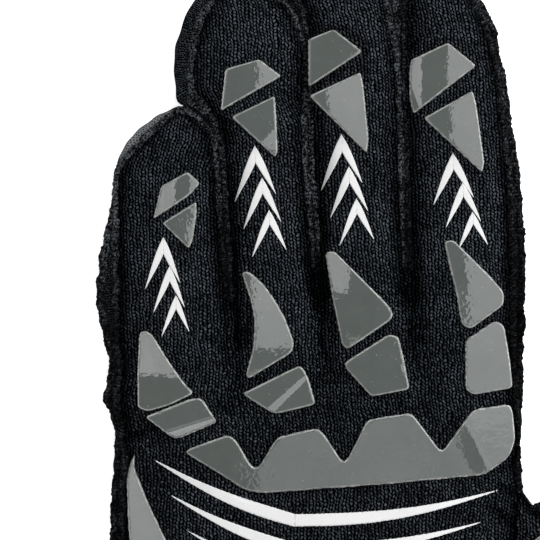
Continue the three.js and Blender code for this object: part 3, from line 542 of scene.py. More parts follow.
def rounded(outline, radius):
    """Closed outline whose corners are turned into parabola arcs that start a radius before each corner."""
    corners = np.asarray(outline, float)
    before, after = np.roll(corners, 1, axis=0), np.roll(corners, -1, axis=0)

    def cut(other):
        """Places on the way to the neighbours where the arcs start."""
        step = other - corners
        length = np.linalg.norm(step, axis=1, keepdims=True)
        return corners + step * np.minimum(radius / length, 0.45)

    start, end = cut(before), cut(after)
    t = np.linspace(0, 1, 9)[None, :, None]
    arcs = (1 - t)**2 * start[:, None] + 2 * t * (1 - t) * corners[:, None] + t**2 * end[:, None]
    return arcs.reshape(-1, 2)


def edge_distance(points, outline):
    """Distance from every point to the nearest side of a closed outline."""
    start, end = outline, np.roll(outline, -1, axis=0)
    step = end - start
    offset = points[..., None, :] - start
    share = np.clip((offset * step).sum(-1) / np.maximum((step**2).sum(-1), 1e-12), 0, 1)
    return np.linalg.norm(offset - share[..., None] * step, axis=-1).min(axis=-1)


class Plate:
    """A stiff pad: its outline, the two edges that it is swept between, and the nearly flat surface that it
    gives the cloth under it."""

    def __init__(self, axis, radius, tilt, bend, folds, corners, ground):
        self.outline = rounded(corners, radius)
        self.axis = axis
        self.along, self.across = (1, 0) if axis == "y" else (0, 1)
        level, side = self.outline[:, self.along], self.outline[:, self.across]
        self.low, self.high = level.min(), level.max()
        first, last = int(np.argmin(level)), int(np.argmax(level))
        count = len(level)
        chains = [(first + np.arange((last - first) % count + 1)) % count,
                  (last + np.arange((first - last) % count + 1)) % count]
        self.chains = [chain[np.argsort(level[chain], kind="stable")] for chain in chains]
        self.level, self.side = level, side
        grid = self.grid(24, 16).reshape(-1, 2)
        self.centre = (grid.min(axis=0) + grid.max(axis=0)) / 2
        self.tilt, self.bend, self.folds = np.array(tilt), np.array(bend), folds
        self.height = (ground(grid[:, 0], grid[:, 1]) - self.shape(grid)).mean()

    def shape(self, points):
        """Height beside the middle's: a tilted plane, less half the bend times the square of the distance,
        less for each fold the turn times the distance past it, rounded over the fold's width."""
        offset = points - self.centre
        height = -(offset * self.tilt).sum(-1) - (offset**2 * self.bend).sum(-1) / 2
        for x, y, way, width, turn in self.folds:
            angle = math.radians(way)
            past = ((points - (x, y)) @ np.array([math.cos(angle), math.sin(angle)])) / width
            height = height - turn / 2 * width * (past + np.logaddexp(past, -past))
        return height

    def edges(self, level):
        """Both edges of the outline at a level along the sweep axis, each with a slight ripple of two sine
        waves where they are apart."""
        one, other = (np.interp(level, self.level[chain], self.side[chain]) for chain in self.chains)
        start, end = np.minimum(one, other), np.maximum(one, other)
        room = np.minimum((end - start) / 3, 1)
        first = 0.06 * np.sin(3.7 * level + self.low) + 0.05 * np.sin(6.3 * level - self.high)
        last = 0.06 * np.sin(4.1 * level - self.low) + 0.05 * np.sin(6.9 * level + self.high)
        return start + room * first, end + room * last

    def grid(self, rows, columns):
        """Lines from edge to edge, closer together near the ends and the edges."""
        level = mix(self.low, self.high, (1 - np.cos(np.linspace(0, math.pi, rows))) / 2)
        start, end = self.edges(level)
        share = (1 - np.cos(np.linspace(0, math.pi, columns))) / 2
        side = mix(start[:, None], end[:, None], share[None])
        levels = np.broadcast_to(level[:, None], side.shape)
        if self.axis == "y":
            return np.stack([side, levels], axis=-1)
        return np.stack([levels, side], axis=-1)[:, ::-1]

    def surface(self, points):
        """Height of the pad's underside over the points."""
        return self.height + self.shape(points)

    def hold(self, points):
        """1 on the pad, falling softly to 0 at the plate's reach beyond its outline."""
        level, side = points[..., self.along], points[..., self.across]
        start, end = self.edges(level)
        inside = (level > self.low) & (level < self.high) & (side > start) & (side < end)
        return np.where(inside, 1.0, 1 - smooth(edge_distance(points, self.outline) / PLATE_REACH))


PLATES = {name: Plate(*row, height_at) for name, row in PADS.items() if name != "thumb_pad"}


def settled(x, y, height):
    """Height of the cloth with the stiff pads on it: each pad draws the cloth to its own surface, as strongly
    as it holds it there."""
    points = np.stack([x, y], axis=-1)
    total, pull = np.zeros(x.shape), np.zeros(x.shape)
    for plate in PLATES.values():
        low, high = plate.outline.min(axis=0) - PLATE_REACH, plate.outline.max(axis=0) + PLATE_REACH
        near = np.all((points > low) & (points < high), axis=-1)
        hold = plate.hold(points[near])
        total[near] += hold
        pull[near] += hold * plate.surface(points[near])
    share = np.minimum(total, 1)
    return mix(height, pull / np.maximum(total, 1e-6), share)


def cloth_height(x, y):
    """Height of the finished cloth over any place on the back: settled under the pads, with its slack."""
    x, y = np.broadcast_arrays(np.asarray(x, float), np.asarray(y, float))
    return settled(x, y, height_at(x, y)) + relief(x, y) * CLOTH_SLACK


# Meshes

class Patchwork:
    """Grids of points put side by side and welded where they meet."""

    def __init__(self):
        self.points, self.inner, self.places, self.faces, self.count = [], [], [], [], 0

    def grid(self, points, inner=None, places=None, edge=None, closed=False):
        """Adds a grid of points [row, column, xyz] in quads, wound so that rows crossed with columns face
        out. Each point has its place on the cloth and its distance to the seam."""
        rows, columns = points.shape[:2]
        number = np.arange(rows * columns).reshape(rows, columns)
        if closed:
            number = np.concatenate([number, number[:, :1]], axis=1)
        quads = np.stack([number[:-1, :-1], number[:-1, 1:], number[1:, 1:], number[1:, :-1]], axis=-1)
        places = points[..., :2] if places is None else places
        edge = np.full(points.shape[:2], FAR) if edge is None else np.broadcast_to(edge, points.shape[:2])
        self.add(points, points if inner is None else inner, np.dstack([places, edge]), quads)

    def add(self, points, inner, places, quads):
        """Adds points, the inner points under them, their places and the quads that join them."""
        for kept, new in ((self.points, points), (self.inner, inner), (self.places, places)):
            kept.append(new.reshape(-1, 3))
        self.faces.append(quads.reshape(-1, 4) + self.count)
        self.count += len(self.points[-1])

    def wall(self, flat, top, bottom, places=None, edge=FAR, turned=None):
        """Adds a grid with a top and a bottom height over the same places. A grid that would face inwards is
        turned over along the axis that turned names."""
        outer, inner = np.dstack([flat, top]), np.dstack([flat, bottom])
        parts = [outer, inner, flat if places is None else places, np.broadcast_to(edge, top.shape)]
        self.grid(*(parts if turned is None else [np.flip(part, turned) for part in parts]))

    def welded(self):
        """One set of points: those that share a place are made one, and faces that shrank to nothing left
        out."""
        points = np.concatenate(self.points)
        faces = np.concatenate(self.faces)
        _, first, number = np.unique(np.round(points, 3), axis=0, return_index=True, return_inverse=True)
        faces = number.reshape(-1)[faces]
        same = [(faces[:, a] == faces[:, b]) for a, b in ((0, 1), (1, 2), (2, 3), (3, 0), (0, 2), (1, 3))]
        collapsed = sum(part.astype(int) for part in same[:4])
        gone = (collapsed > 1) | same[4] | same[5]
        inner, places = np.concatenate(self.inner)[first], np.concatenate(self.places)[first]
        return points[first], inner, places, faces[~gone]


def fill_object(name, points, faces, places):
    """Makes the object of a mesh given in millimetres. A face row that names a corner twice is a triangle."""
    mesh = bpy.data.meshes.new(name)
    keep = faces != np.roll(faces, -1, axis=1)
    counts = keep.sum(axis=1)
    corners = faces[keep]
    starts = np.concatenate([[0], np.cumsum(counts)[:-1]])
    mesh.vertices.add(len(points))
    mesh.vertices.foreach_set("co", (np.asarray(points) * MM).astype(np.float32).ravel())
    mesh.loops.add(len(corners))
    mesh.loops.foreach_set("vertex_index", corners.astype(np.int32))
    mesh.polygons.add(len(faces))
    mesh.polygons.foreach_set("loop_start", starts.astype(np.int32))
    mesh.polygons.foreach_set("loop_total", counts.astype(np.int32))
    mesh.update(calc_edges=True)
    layer = mesh.uv_layers.new(name="cloth")
    layer.data.foreach_set("uv", (places[corners, :2] * MAP_SCALE).astype(np.float32).ravel())
    edge = mesh.attributes.new("seam_distance", "FLOAT", "POINT")
    edge.data.foreach_set("value", places[:, 2].astype(np.float32))
    mesh.polygons.foreach_set("use_smooth", np.ones(len(faces), bool))
    if mesh.validate():
        raise RuntimeError(f"{name}: the mesh had faults")
    piece = bpy.data.objects.new(name, mesh)
    bpy.context.scene.collection.objects.link(piece)
    return piece


def closed_sheet(name, patchwork):
    """A wall between the outer and the inner points: both sides, and a strip round every free edge."""
    points, inner, places, faces = patchwork.welded()
    count = len(points)
    edges = np.stack([faces, np.roll(faces, -1, axis=1)], axis=-1).reshape(-1, 2)
    edges = edges[edges[:, 0] != edges[:, 1]]
    key = edges[:, 0].astype(np.int64) * count + edges[:, 1]
    back = edges[:, 1].astype(np.int64) * count + edges[:, 0]
    free = edges[~np.isin(key, back)]
    walls = np.stack([free[:, 1], free[:, 0], free[:, 0] + count, free[:, 1] + count], axis=1)
    everything = np.concatenate([faces, faces[:, ::-1] + count, walls])
    return fill_object(name, np.concatenate([points, inner]), everything, np.concatenate([places, places]))


def dressed(piece, material, slot, *nodes):
    """Finishes a piece: its material, the body it rides on and the nodes it stands for. The slot is not used.
    """
    piece.data.materials.append(material)
    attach(piece, "root")
    if nodes:
        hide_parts(*nodes)
    return piece


def tube(path, radius):
    """Points of a tube along a path of points: at each, a ring square to the path and level with the floor,
    with one radius [point, side] for each of its points."""
    step = np.gradient(path, axis=0)
    step = step / np.maximum(np.linalg.norm(step, axis=1, keepdims=True), 1e-9)
    level = np.cross(step, UP)
    level = level / np.maximum(np.linalg.norm(level, axis=1, keepdims=True), 1e-9)
    rise = np.cross(level, step)
    turn = full_turn(radius.shape[1])[None, :, None]
    return path[:, None] + radius[..., None] * (level[:, None] * np.cos(turn) + rise[:, None] * np.sin(turn))


# Node trees

class Tree:
    """Adds nodes to a node tree. A number given for an input is set on it, and a socket is linked to it."""

    def __init__(self, tree):
        self.tree = tree

    def add(self, kind, inputs=(), **settings):
        """A node with its settings and inputs."""
        node = self.tree.nodes.new(kind)
        for name, value in settings.items():
            setattr(node, name, value)
        for name, value in dict(inputs).items():
            self.feed(node.inputs[name], value)
        return node

    def feed(self, socket, value):
        """Links a socket to an input, or sets the input to a value."""
        if isinstance(value, bpy.types.NodeSocket):
            self.tree.links.new(value, socket)
        else:
            socket.default_value = value

    def shared(self, nodes, **inputs):
        """Outputs of a shader group placed with its own inputs."""
        return self.add("ShaderNodeGroup", inputs, node_tree=nodes).outputs

    def math(self, operation, *values, clamp=False):
        """Result of an operation on numbers."""
        node = self.add("ShaderNodeMath", operation=operation, use_clamp=clamp)
        for socket, value in zip(node.inputs, values):
            self.feed(socket, value)
        return node.outputs[0]

    def times(self, product, *values):
        """Product of all values."""
        for value in values:
            product = self.math("MULTIPLY", product, value)
        return product

    def plus(self, value, more):
        """Sum of two values."""
        return self.math("ADD", value, more)

    def minus(self, value, less):
        """A value less another."""
        return self.math("SUBTRACT", value, less)

    def vector(self, operation, *values, scale=None):
        """Result of an operation on vectors."""
        node = self.add("ShaderNodeVectorMath", operation=operation)
        for socket, value in zip(node.inputs, values):
            self.feed(socket, value)
        if scale is not None:
            self.feed(node.inputs["Scale"], scale)
        return node.outputs["Value" if operation == "LENGTH" else "Vector"]

    def range(self, value, low, high, to_low=0.0, to_high=1.0):
        """Soft step from one result to another as a value goes from low to high."""
        node = self.add("ShaderNodeMapRange", interpolation_type="SMOOTHSTEP")
        for socket, given in zip(node.inputs, (value, low, high, to_low, to_high)):
            self.feed(socket, given)
        return node.outputs[0]

    def blend(self, share, first, second):
        """Colour from first to second."""
        node = self.add("ShaderNodeMix", data_type="RGBA")
        self.feed(node.inputs[0], share)
        for socket, colour in ((node.inputs[6], first), (node.inputs[7], second)):
            self.feed(socket, colour if isinstance(colour, bpy.types.NodeSocket) else (*colour, 1.0))
        return node.outputs[2]

    def noise(self, place, scale, detail=2.0, roughness=0.5, output="Fac"):
        """Cloudy noise, as a number or as a colour."""
        return self.add("ShaderNodeTexNoise", {
            "Vector": place, "Scale": scale, "Detail": detail, "Roughness": roughness}).outputs[output]

    def bump(self, height, strength, depth):
        """Normal of a surface with a height, over a depth in millimetres."""
        return self.add("ShaderNodeBump", {
            "Height": height, "Strength": strength, "Distance": depth * MM}).outputs[0]

    def parts(self, vector):
        """The x, y and z of a vector."""
        return self.add("ShaderNodeSeparateXYZ", {0: vector}).outputs


def group(name, inputs, outputs, make):
    """A shader group with named inputs and outputs, built once. An input is a number, or None for a vector,
    and make gets its Tree and its inputs and returns the outputs' values by name."""
    if name in bpy.data.node_groups:
        return bpy.data.node_groups[name]
    made = bpy.data.node_groups.new(name, "ShaderNodeTree")
    for label, default in inputs.items():
        kind = "NodeSocketVector" if default is None else "NodeSocketFloat"
        socket = made.interface.new_socket(label, in_out="INPUT", socket_type=kind)
        if default is not None:
            socket.default_value = default
    for label in outputs:
        made.interface.new_socket(label, in_out="OUTPUT", socket_type="NodeSocketFloat")
    tree = Tree(made)
    entry, end = tree.add("NodeGroupInput"), tree.add("NodeGroupOutput")
    for label, value in make(tree, entry.outputs).items():
        tree.feed(end.inputs[label], value)
    return made


def oval(tree, u, v, half_width, half_height, powers=(2.0, 2.0)):
    """How far out a place lies in an oval, from 0 in the middle to 1 on its line: the sum of |u / half width|
    and |v / half height|, each raised to its power."""
    across, along = (
        tree.math("POWER", tree.math("ABSOLUTE", tree.math("DIVIDE", value, half)), power)
        for value, half, power in ((u, half_width, powers[0]), (v, half_height, powers[1])))
    return tree.plus(across, along)


def stitch_group():
    """Knit stitches on a cloth place in millimetres: upright columns of grains, every other column half a
    grain further on and leaning a little the other way, each grain a rounded oval with its own tone."""
    def make(tree, given):
        """Height is the root of 1 less the place in the grain's oval, and tone is a random number."""
        x, y, _ = tree.parts(given["Place"])
        across = tree.math("DIVIDE", x, given["Width"])
        column = tree.math("FLOOR", across)
        u = tree.minus(tree.math("FRACT", across), 0.5)
        odd = tree.math("FLOORED_MODULO", column, 2.0)
        side = tree.minus(1.0, tree.times(odd, 1.25))
        level = tree.plus(tree.math("DIVIDE", y, given["Length"]), tree.times(odd, 0.5))
        level = tree.plus(level, tree.times(u, side, given["Lean"]))
        row = tree.math("FLOOR", level)
        grain = tree.add("ShaderNodeCombineXYZ", {0: column, 1: row}).outputs[0]
        tone = tree.add("ShaderNodeTexWhiteNoise", {"Vector": grain}, noise_dimensions="2D").outputs[0]
        u = tree.plus(u, tree.times(tree.minus(tone, 0.5), 0.16))
        v = tree.minus(tree.math("FRACT", level), 0.5)
        reach = oval(tree, u, v, given["Span"], given["Fill"], (2.2, 2.4))
        return {"Height": tree.math("SQRT", tree.math("SUBTRACT", 1.0, reach, clamp=True)), "Tone": tone}

    return group("Knit stitches", {
        "Place": None, "Width": 0.85, "Length": 1.05, "Lean": 1.05, "Span": 0.385, "Fill": 0.44,
    }, ("Height", "Tone"), make)


def mesh_hole_group():
    """Holes of the open knit: a brick lattice of upright ovals, 1 in the middle of a hole and 0 on the
    yarn."""
    def make(tree, given):
        """Every other row is shifted by half a hole."""
        x, y, _ = tree.parts(given["Place"])
        level = tree.math("DIVIDE", y, given["Height"])
        shift = tree.times(tree.math("FLOORED_MODULO", tree.math("FLOOR", level), 2.0), 0.5)
        across = tree.plus(tree.math("DIVIDE", x, given["Width"]), shift)
        u, v = (tree.minus(tree.math("FRACT", value), 0.5) for value in (across, level))
        return {"Hole": tree.range(oval(tree, u, v, 0.30, 0.46), 0.55, 1.15, 1.0, 0.0)}

    return group("Mesh holes", {"Place": None, "Width": 1.7, "Height": 1.25}, ("Hole",), make)


def fibre_group():
    """Fibres that stand out of the yarn: fine noise drawn out along one direction, and coarse lint."""
    def make(tree, given):
        """Both are noise on the cloth's place."""
        drawn = tree.vector("MULTIPLY", given["Place"], (5.0, 1.4, 5.0))
        lint = tree.range(tree.noise(given["Place"], 1.7, 4.0, 0.6), 0.62, 0.74)
        return {"Fibres": tree.noise(drawn, given["Scale"], 3.0, 0.7), "Lint": lint}

    return group("Loose fibres", {"Place": None, "Scale": 1.0}, ("Fibres", "Lint"), make)


# Colours of the finishes, and places in millimetres where they change. The seams get paler up the fingers
# and darker again at the tips. The index finger's is darker as painted shade, and the outer one of the little
# finger paler.

# Painted highlights on the stitch crests of the black cloth
WOVEN_CREST = (0.050, 0.057, 0.065)
CUFF_CREST = (0.036, 0.039, 0.044)
# Painted sheen: the paler colour of the little finger's cap
CAP_SHEEN_COLOUR = (0.19, 0.20, 0.21)
# Painted highlight of the seam's clumps, and the near black of painted shade between them
FLUFF_COLOUR, FLUFF_GAP = (0.095, 0.104, 0.115), (0.0004, 0.0004, 0.0005)
THREAD_GAP = (0.004, 0.004, 0.0045)
SUEDE_DARK, SUEDE_LIGHT = (0.018, 0.018, 0.019), (0.05, 0.05, 0.052)
# Painted highlight: the pale rim of the pads
RIM_HIGHLIGHT_COLOUR = (0.35, 0.355, 0.34)
DUST_COLOUR = (0.5, 0.5, 0.5)
FILM_WORN, FILM_WHITE = (0.36, 0.36, 0.36), (0.485, 0.485, 0.485)
PAPER_DARK, PAPER_LIGHT = (0.90, 0.90, 0.90), (0.94, 0.94, 0.94)

# Ball round which the painted sheen of the little finger's cap fades in, in millimetres
CAP_CENTRE, CAP_INNER, CAP_OUTER = (-46.0, 69.5, 5.0), 8.5, 11.0
MESH_FROM, MESH_FULL = 24.0, 12.0
DEEP_SHADE_FROM, DEEP_SHADE_TO = 80.0, 40.0
FLUFF_PALE_FROM, FLUFF_PALE_TO = 20.0, 64.0
FLUFF_TIPS_FROM, FLUFF_TIPS_TO = 84.0, 96.0
INDEX_FLUFF_FROM, INDEX_FLUFF_TO = 24.0, 38.0
INDEX_PALE_FROM, INDEX_PALE_TO = 35.0, 75.0
LITTLE_FLUFF_FROM, LITTLE_FLUFF_TO = -45.0, -39.0

# Stretches of seam in shade. Columns: x of the middle, half the width.

SHADED_FLANKS = ((23.8, 1.3), (-24.4, 0.9))


def finish(name, make):
    """A material, built once: make gets its Tree and the place on the cloth and on the glove in millimetres,
    and returns the shader's inputs by name."""
    if name in bpy.data.materials:
        return bpy.data.materials[name]
    material = bpy.data.materials.new(name)
    material.use_nodes = True
    tree = Tree(material.node_tree)
    cloth = tree.vector("SCALE", tree.add("ShaderNodeUVMap", uv_map="cloth").outputs[0], scale=1 / MAP_SCALE)
    solid = tree.vector("SCALE", tree.add("ShaderNodeTexCoord").outputs["Object"], scale=1 / MM)
    shader = material.node_tree.nodes["Principled BSDF"]
    for label, value in make(tree, cloth, solid).items():
        tree.feed(shader.inputs[label], value)
    return material


def cloth_finish(name, crest, depth, holes=False, cap=False, **stitch_sizes):
    """Knitted or woven cloth: near-black gaps of painted shade, stitch crests lighter by a painted highlight
    with their own tones, fibres and lint, all in painted shade near a seam. The hand's knit opens into a mesh
    of holes, and the smooth cap of the little finger is a weave with pin holes, made paler by a painted
    sheen."""
    def make(tree, cloth, solid):
        """The lit share is a product of the grain, its tone, the fibres, a soft patch and the shade."""
        # Painted highlight and shade: the crests take the crest colour as the black yarn's sheen, the gaps a
        # near black as their shade
        dark = tuple(0.001 * value for value in crest)
        _, y, _ = tree.parts(solid)
        stray = tree.vector("SUBTRACT", tree.noise(cloth, 0.28, output="Color"), (0.5, 0.5, 0.5))
        cloth = tree.vector("ADD", cloth, tree.vector("SCALE", stray, scale=1.7))
        grain, tone = tree.shared(stitch_group(), Place=cloth, **stitch_sizes)
        fibres, lint = tree.shared(fibre_group(), Place=cloth, Scale=1.2)
        patch = tree.range(tree.noise(solid, 0.09, 4.0), 0.35, 0.65, 0.72, 1.22)
        # Painted shade: the knit darkens near a seam, in the valleys between the fingers and in creases,
        # deepest low on the fingers
        edge = tree.add("ShaderNodeAttribute", attribute_name="seam_distance").outputs["Fac"]
        deepest = tree.range(y, DEEP_SHADE_TO, DEEP_SHADE_FROM, 0.16, 0.42)
        shade = tree.range(edge, 0.6, SHADE_REACH)
        shade = tree.plus(deepest, tree.times(shade, tree.minus(1.0, deepest)))
        lit = tree.times(
            tree.math("POWER", grain, 1.25), tree.range(tone, 0.0, 1.0, 0.4, 1.25),
            tree.range(fibres, 0.34, 0.66, 0.25, 1.4), patch, shade)
        height = tree.plus(grain, tree.times(fibres, 0.35))
        if holes:
            hole = tree.shared(mesh_hole_group(), Place=cloth)["Hole"]
            hole = tree.times(tree.range(y, MESH_FROM, MESH_FULL), hole)
            lit = tree.times(lit, tree.minus(1.0, tree.times(hole, 0.4)))
            height = tree.minus(height, tree.times(hole, 1.2))
        colour = tree.blend(tree.plus(lit, tree.times(lint, 0.10)), dark, crest)
        # Painted sheen: round a point the cap turns paler, over its real pin holes and fibres
        if cap:
            pin = tree.shared(mesh_hole_group(), Place=cloth, Width=0.9, Height=0.75)["Hole"]
            tone_and_painted_light = tree.times(tree.range(fibres, 0.3, 0.7, 0.45, 1.3), tree.minus(1.0, tree.times(pin, 0.8)))
            away = tree.vector("LENGTH", tree.vector("SUBTRACT", solid, CAP_CENTRE))
            on_cap = tree.range(away, CAP_OUTER, CAP_INNER)
            colour = tree.blend(on_cap, colour, tree.blend(tone_and_painted_light, dark, CAP_SHEEN_COLOUR))
        return {"Base Color": colour, "Normal": tree.bump(height, 1.0, depth), "Roughness": 0.9,
                "Specular IOR Level": 0.0}

    return finish(name, make)


def knit_finish():
    """The back's knit, in the sizes and the colour of the cloth's settings."""
    sizes = bpy.context.scene.glove_cloth
    return cloth_finish("black knit", tuple(sizes.crest_colour), 0.45, holes=True,
                        Width=sizes.stitch_width, Length=sizes.stitch_length)


def woven_finish():
    """The side walls' fine weave."""
    return cloth_finish(
        "black woven", WOVEN_CREST, 0.3, cap=True, Width=0.62, Length=0.78, Lean=1.1, Fill=0.44)


def cuff_finish():
    """The cuff's coarser knit."""
    return cloth_finish("ribbed cuff knit", CUFF_CREST, 0.4, Width=1.0, Length=1.1)


def seam_finish():
    """Fluffy rolled edge: tangled clumps of yarn, a painted highlight where they stand out and black painted
    shade between them.
    """
    def make(tree, cloth, solid):
        """The lit share is a product of clumps, strands, knots, a soft patch and how pale the seam is
        there."""
        x, y, _ = tree.parts(solid)
        clumps = tree.noise(solid, 1.3, 3.0, 0.65)
        strands = tree.noise(tree.vector("MULTIPLY", cloth, (1.8, 3.6, 1.0)), 0.9, 3.0, 0.65)
        knots = tree.shared(stitch_group(), Place=cloth, Width=0.8, Length=0.85)["Height"]
        patch = tree.range(tree.noise(solid, 0.16, 4.0, 0.65), 0.38, 0.62, 0.3, 1.15)
        # Painted light and shade by place: paler up the fingers and darker at the tips, paler on the little
        # finger's outer side, darker as painted shade along the index finger and the shaded flanks
        pale = tree.times(tree.range(y, FLUFF_PALE_FROM, FLUFF_PALE_TO, 0.3, 2.7),
                          tree.range(y, FLUFF_TIPS_FROM, FLUFF_TIPS_TO, 1.0, 0.56))
        pale_index = tree.range(y, INDEX_PALE_FROM, INDEX_PALE_TO, 0.19, 0.68)
        tone_and_painted_light = tree.range(x, INDEX_FLUFF_FROM, INDEX_FLUFF_TO, pale, pale_index)
        tone_and_painted_light = tree.times(tone_and_painted_light, tree.range(x, LITTLE_FLUFF_FROM, LITTLE_FLUFF_TO, 1.35, 1.0))
        for middle, half in SHADED_FLANKS:
            beside = tree.math("ABSOLUTE", tree.minus(x, middle))
            tone_and_painted_light = tree.times(tone_and_painted_light, tree.range(beside, half, half + 1.0, 0.3, 1.0))
        share = tree.times(tree.range(clumps, 0.42, 0.62), tree.range(strands, 0.40, 0.62, 0.15, 1.1))
        share = tree.times(share, tree.range(knots, 0.0, 0.8, 0.4, 1.35))
        share = tree.times(share, tree.times(patch, tone_and_painted_light))
        return {"Base Color": tree.blend(share, FLUFF_GAP, FLUFF_COLOUR), "Roughness": 0.9,
                "Normal": tree.bump(tree.plus(clumps, strands), 1.0, 0.55), "Specular IOR Level": 0.02}

    return finish("seam fluff", make)


def suede_finish():
    """Synthetic suede: a soft nap in patches over fine grain."""
    def make(tree, _cloth, solid):
        """The light share is the product of the nap and the grain."""
        nap, grain = tree.noise(solid, 0.12, 4.0, 0.6), tree.noise(solid, 3.0, 3.0, 0.7)
        share = tree.times(tree.range(nap, 0.3, 0.7), tree.range(grain, 0.2, 0.8))
        return {"Base Color": tree.blend(share, SUEDE_DARK, SUEDE_LIGHT), "Roughness": 0.9,
                "Normal": tree.bump(grain, 0.5, 0.15), "Specular IOR Level": 0.1, "Sheen Weight": 0.1}

    return finish("palm suede", make)


def thread_finish():
    """Overlock thread: grey fibres broken by darker gaps."""
    def make(tree, _cloth, solid):
        """The light share is the product of the strands and the gaps between them."""
        strands = tree.noise(solid, 2.4, 4.0, 0.75)
        gaps = tree.range(tree.noise(solid, 0.55, 3.0, 0.6), 0.36, 0.62, 0.15, 1.0)
        share = tree.times(tree.range(strands, 0.4, 0.66), gaps)
        colour = tuple(bpy.context.scene.glove_seams.thread_colour)
        return {"Base Color": tree.blend(share, THREAD_GAP, colour), "Normal": tree.bump(strands, 0.9, 0.3),
                "Roughness": 0.85, "Specular IOR Level": 0.1}

    return finish("seam thread", make)


def rubber_finish():
    """Glossy moulded rubber: even colour with faint clouding and specks, and a skin that is not quite
    flat."""
    def make(tree, cloth, solid):
        """The map's x is the distance to the pad's outline, where a painted highlight makes the rim pale in
        places.
        """
        settings = bpy.context.scene.glove_pads
        base = tuple(settings.rubber_colour)
        cloud = tree.noise(solid, 0.2, 3.0, 0.6)
        dust = tree.range(tree.noise(solid, 1.6, 2.0, 0.5), 0.72, 0.78)
        # Painted highlight: a pale band along the rim, broken by noise
        tone_and_painted_light = tree.times(tree.range(tree.parts(cloth)[0], 0.46, 0.22),
                          tree.range(tree.noise(solid, 0.8, 3.0), 0.35, 0.6, 0.45, 1.0))
        colour = tree.blend(tree.range(cloud, 0.3, 0.7), tuple(0.92 * value for value in base), base)
        colour = tree.blend(tree.times(dust, 0.35), colour, DUST_COLOUR)
        skin = tree.plus(tree.noise(solid, 0.95, 1.0, 0.5), tree.times(tree.noise(solid, 0.3, 0.0), 1.6))
        return {"Base Color": tree.blend(tone_and_painted_light, colour, RIM_HIGHLIGHT_COLOUR),
                "Roughness": tree.range(cloud, 0.2, 0.8, 0.02, 0.035),
                "Normal": tree.bump(skin, settings.skin_unevenness, 0.25)}

    return finish("moulded rubber", make)


def film_finish():
    """Printed film: white, thin enough that the knit's stitches dent it."""
    def make(tree, cloth, solid):
        """The white share is the product of soft wear and the dents."""
        sizes = bpy.context.scene.glove_cloth
        dents = tree.shared(
            stitch_group(), Place=cloth, Width=sizes.stitch_width, Length=sizes.stitch_length)["Height"]
        wear = tree.range(tree.noise(solid, 1.2, 4.0, 0.6), 0.25, 0.45, 0.7, 1.0)
        share = tree.times(wear, tree.range(dents, 0.0, 0.5, 0.95, 1.0))
        return {"Base Color": tree.blend(share, FILM_WORN, FILM_WHITE), "Normal": tree.bump(dents, 0.12, 0.1),
                "Roughness": 0.5}

    return finish("printed film", make)


def paper_finish():
    """White paper of the table, which gives off a little light."""
    def make(tree, _cloth, solid):
        """Its colour is soft noise."""
        colour = tree.blend(tree.noise(solid, 0.02, 2.0), PAPER_DARK, PAPER_LIGHT)
        return {"Base Color": colour, "Roughness": 0.9, "Emission Color": (1.0, 1.0, 1.0, 1.0),
                "Emission Strength": bpy.context.scene.glove_stage.floor_glow}

    return finish("white paper", make)


# Settings

class GloveClothSettings(bpy.types.PropertyGroup):
    """Sizes and colour of the cloth"""
    stitch_width: FloatProperty(
        name="Stitch width", description="Width of a knit stitch, in millimetres", default=0.86)
    stitch_length: FloatProperty(
        name="Stitch length", description="Length of a knit stitch, in millimetres", default=0.94)
    # Painted highlight: the black knit's colour on its stitch crests
    crest_colour: FloatVectorProperty(
        name="Stitch crest colour", description="Colour of the knit where its stitches catch the light",
        subtype="COLOR", size=3, min=0, max=1, default=(0.056, 0.065, 0.077))
    cell: FloatProperty(
        name="Mesh cell", description="Size of a cell of the cloth's mesh, in millimetres", default=0.85)


class GlovePadSettings(bpy.types.PropertyGroup):
    """Sizes and colour of the moulded pads"""
    thickness: FloatProperty(
        name="Pad thickness", description="Height of a pad above the knit, in millimetres", default=1.5)
    rim: FloatProperty(
        name="Rim", description="Width of a pad's rounded rim, in millimetres", default=0.42)
    skin_unevenness: FloatProperty(
        name="Skin unevenness", description="Strength of the skin's waviness",
        subtype="FACTOR", default=0.075)
    rubber_colour: FloatVectorProperty(
        name="Rubber colour", description="Colour of the moulded rubber",
        subtype="COLOR", size=3, min=0, max=1, default=(0.058, 0.066, 0.062))


class GloveSeamSettings(bpy.types.PropertyGroup):
    """Threads and hairs of the seams"""
    loop_pitch: FloatProperty(
        name="Stitch pitch", description="Distance between overlock stitches, in millimetres", default=1.1)
    thread_colour: FloatVectorProperty(
        name="Thread colour", description="Colour of the overlock thread",
        subtype="COLOR", size=3, min=0, max=1, default=(0.055, 0.060, 0.067))
    hairs: IntProperty(
        name="Loose hairs", description="Number of loose hairs on each 6000 steps of cord", default=5200)


class GloveStageSettings(bpy.types.PropertyGroup):
    """Camera and light"""
    view_width: FloatProperty(
        name="View width", description="Width that the camera sees", subtype="DISTANCE", default=0.1377)
    view_distance: FloatProperty(
        name="Camera distance", description="Distance of the camera above the pads",
        subtype="DISTANCE", default=1.2)
    softbox: FloatProperty(
        name="Softbox brightness", description="Radiance of a light of brightness 1", default=4.6)
    surroundings: FloatProperty(name="Surroundings", description="Brightness of the grey room", default=0.34)
    floor_glow: FloatProperty(
        name="Floor glow", description="Light given off by the white table", default=0.55)


# Pieces

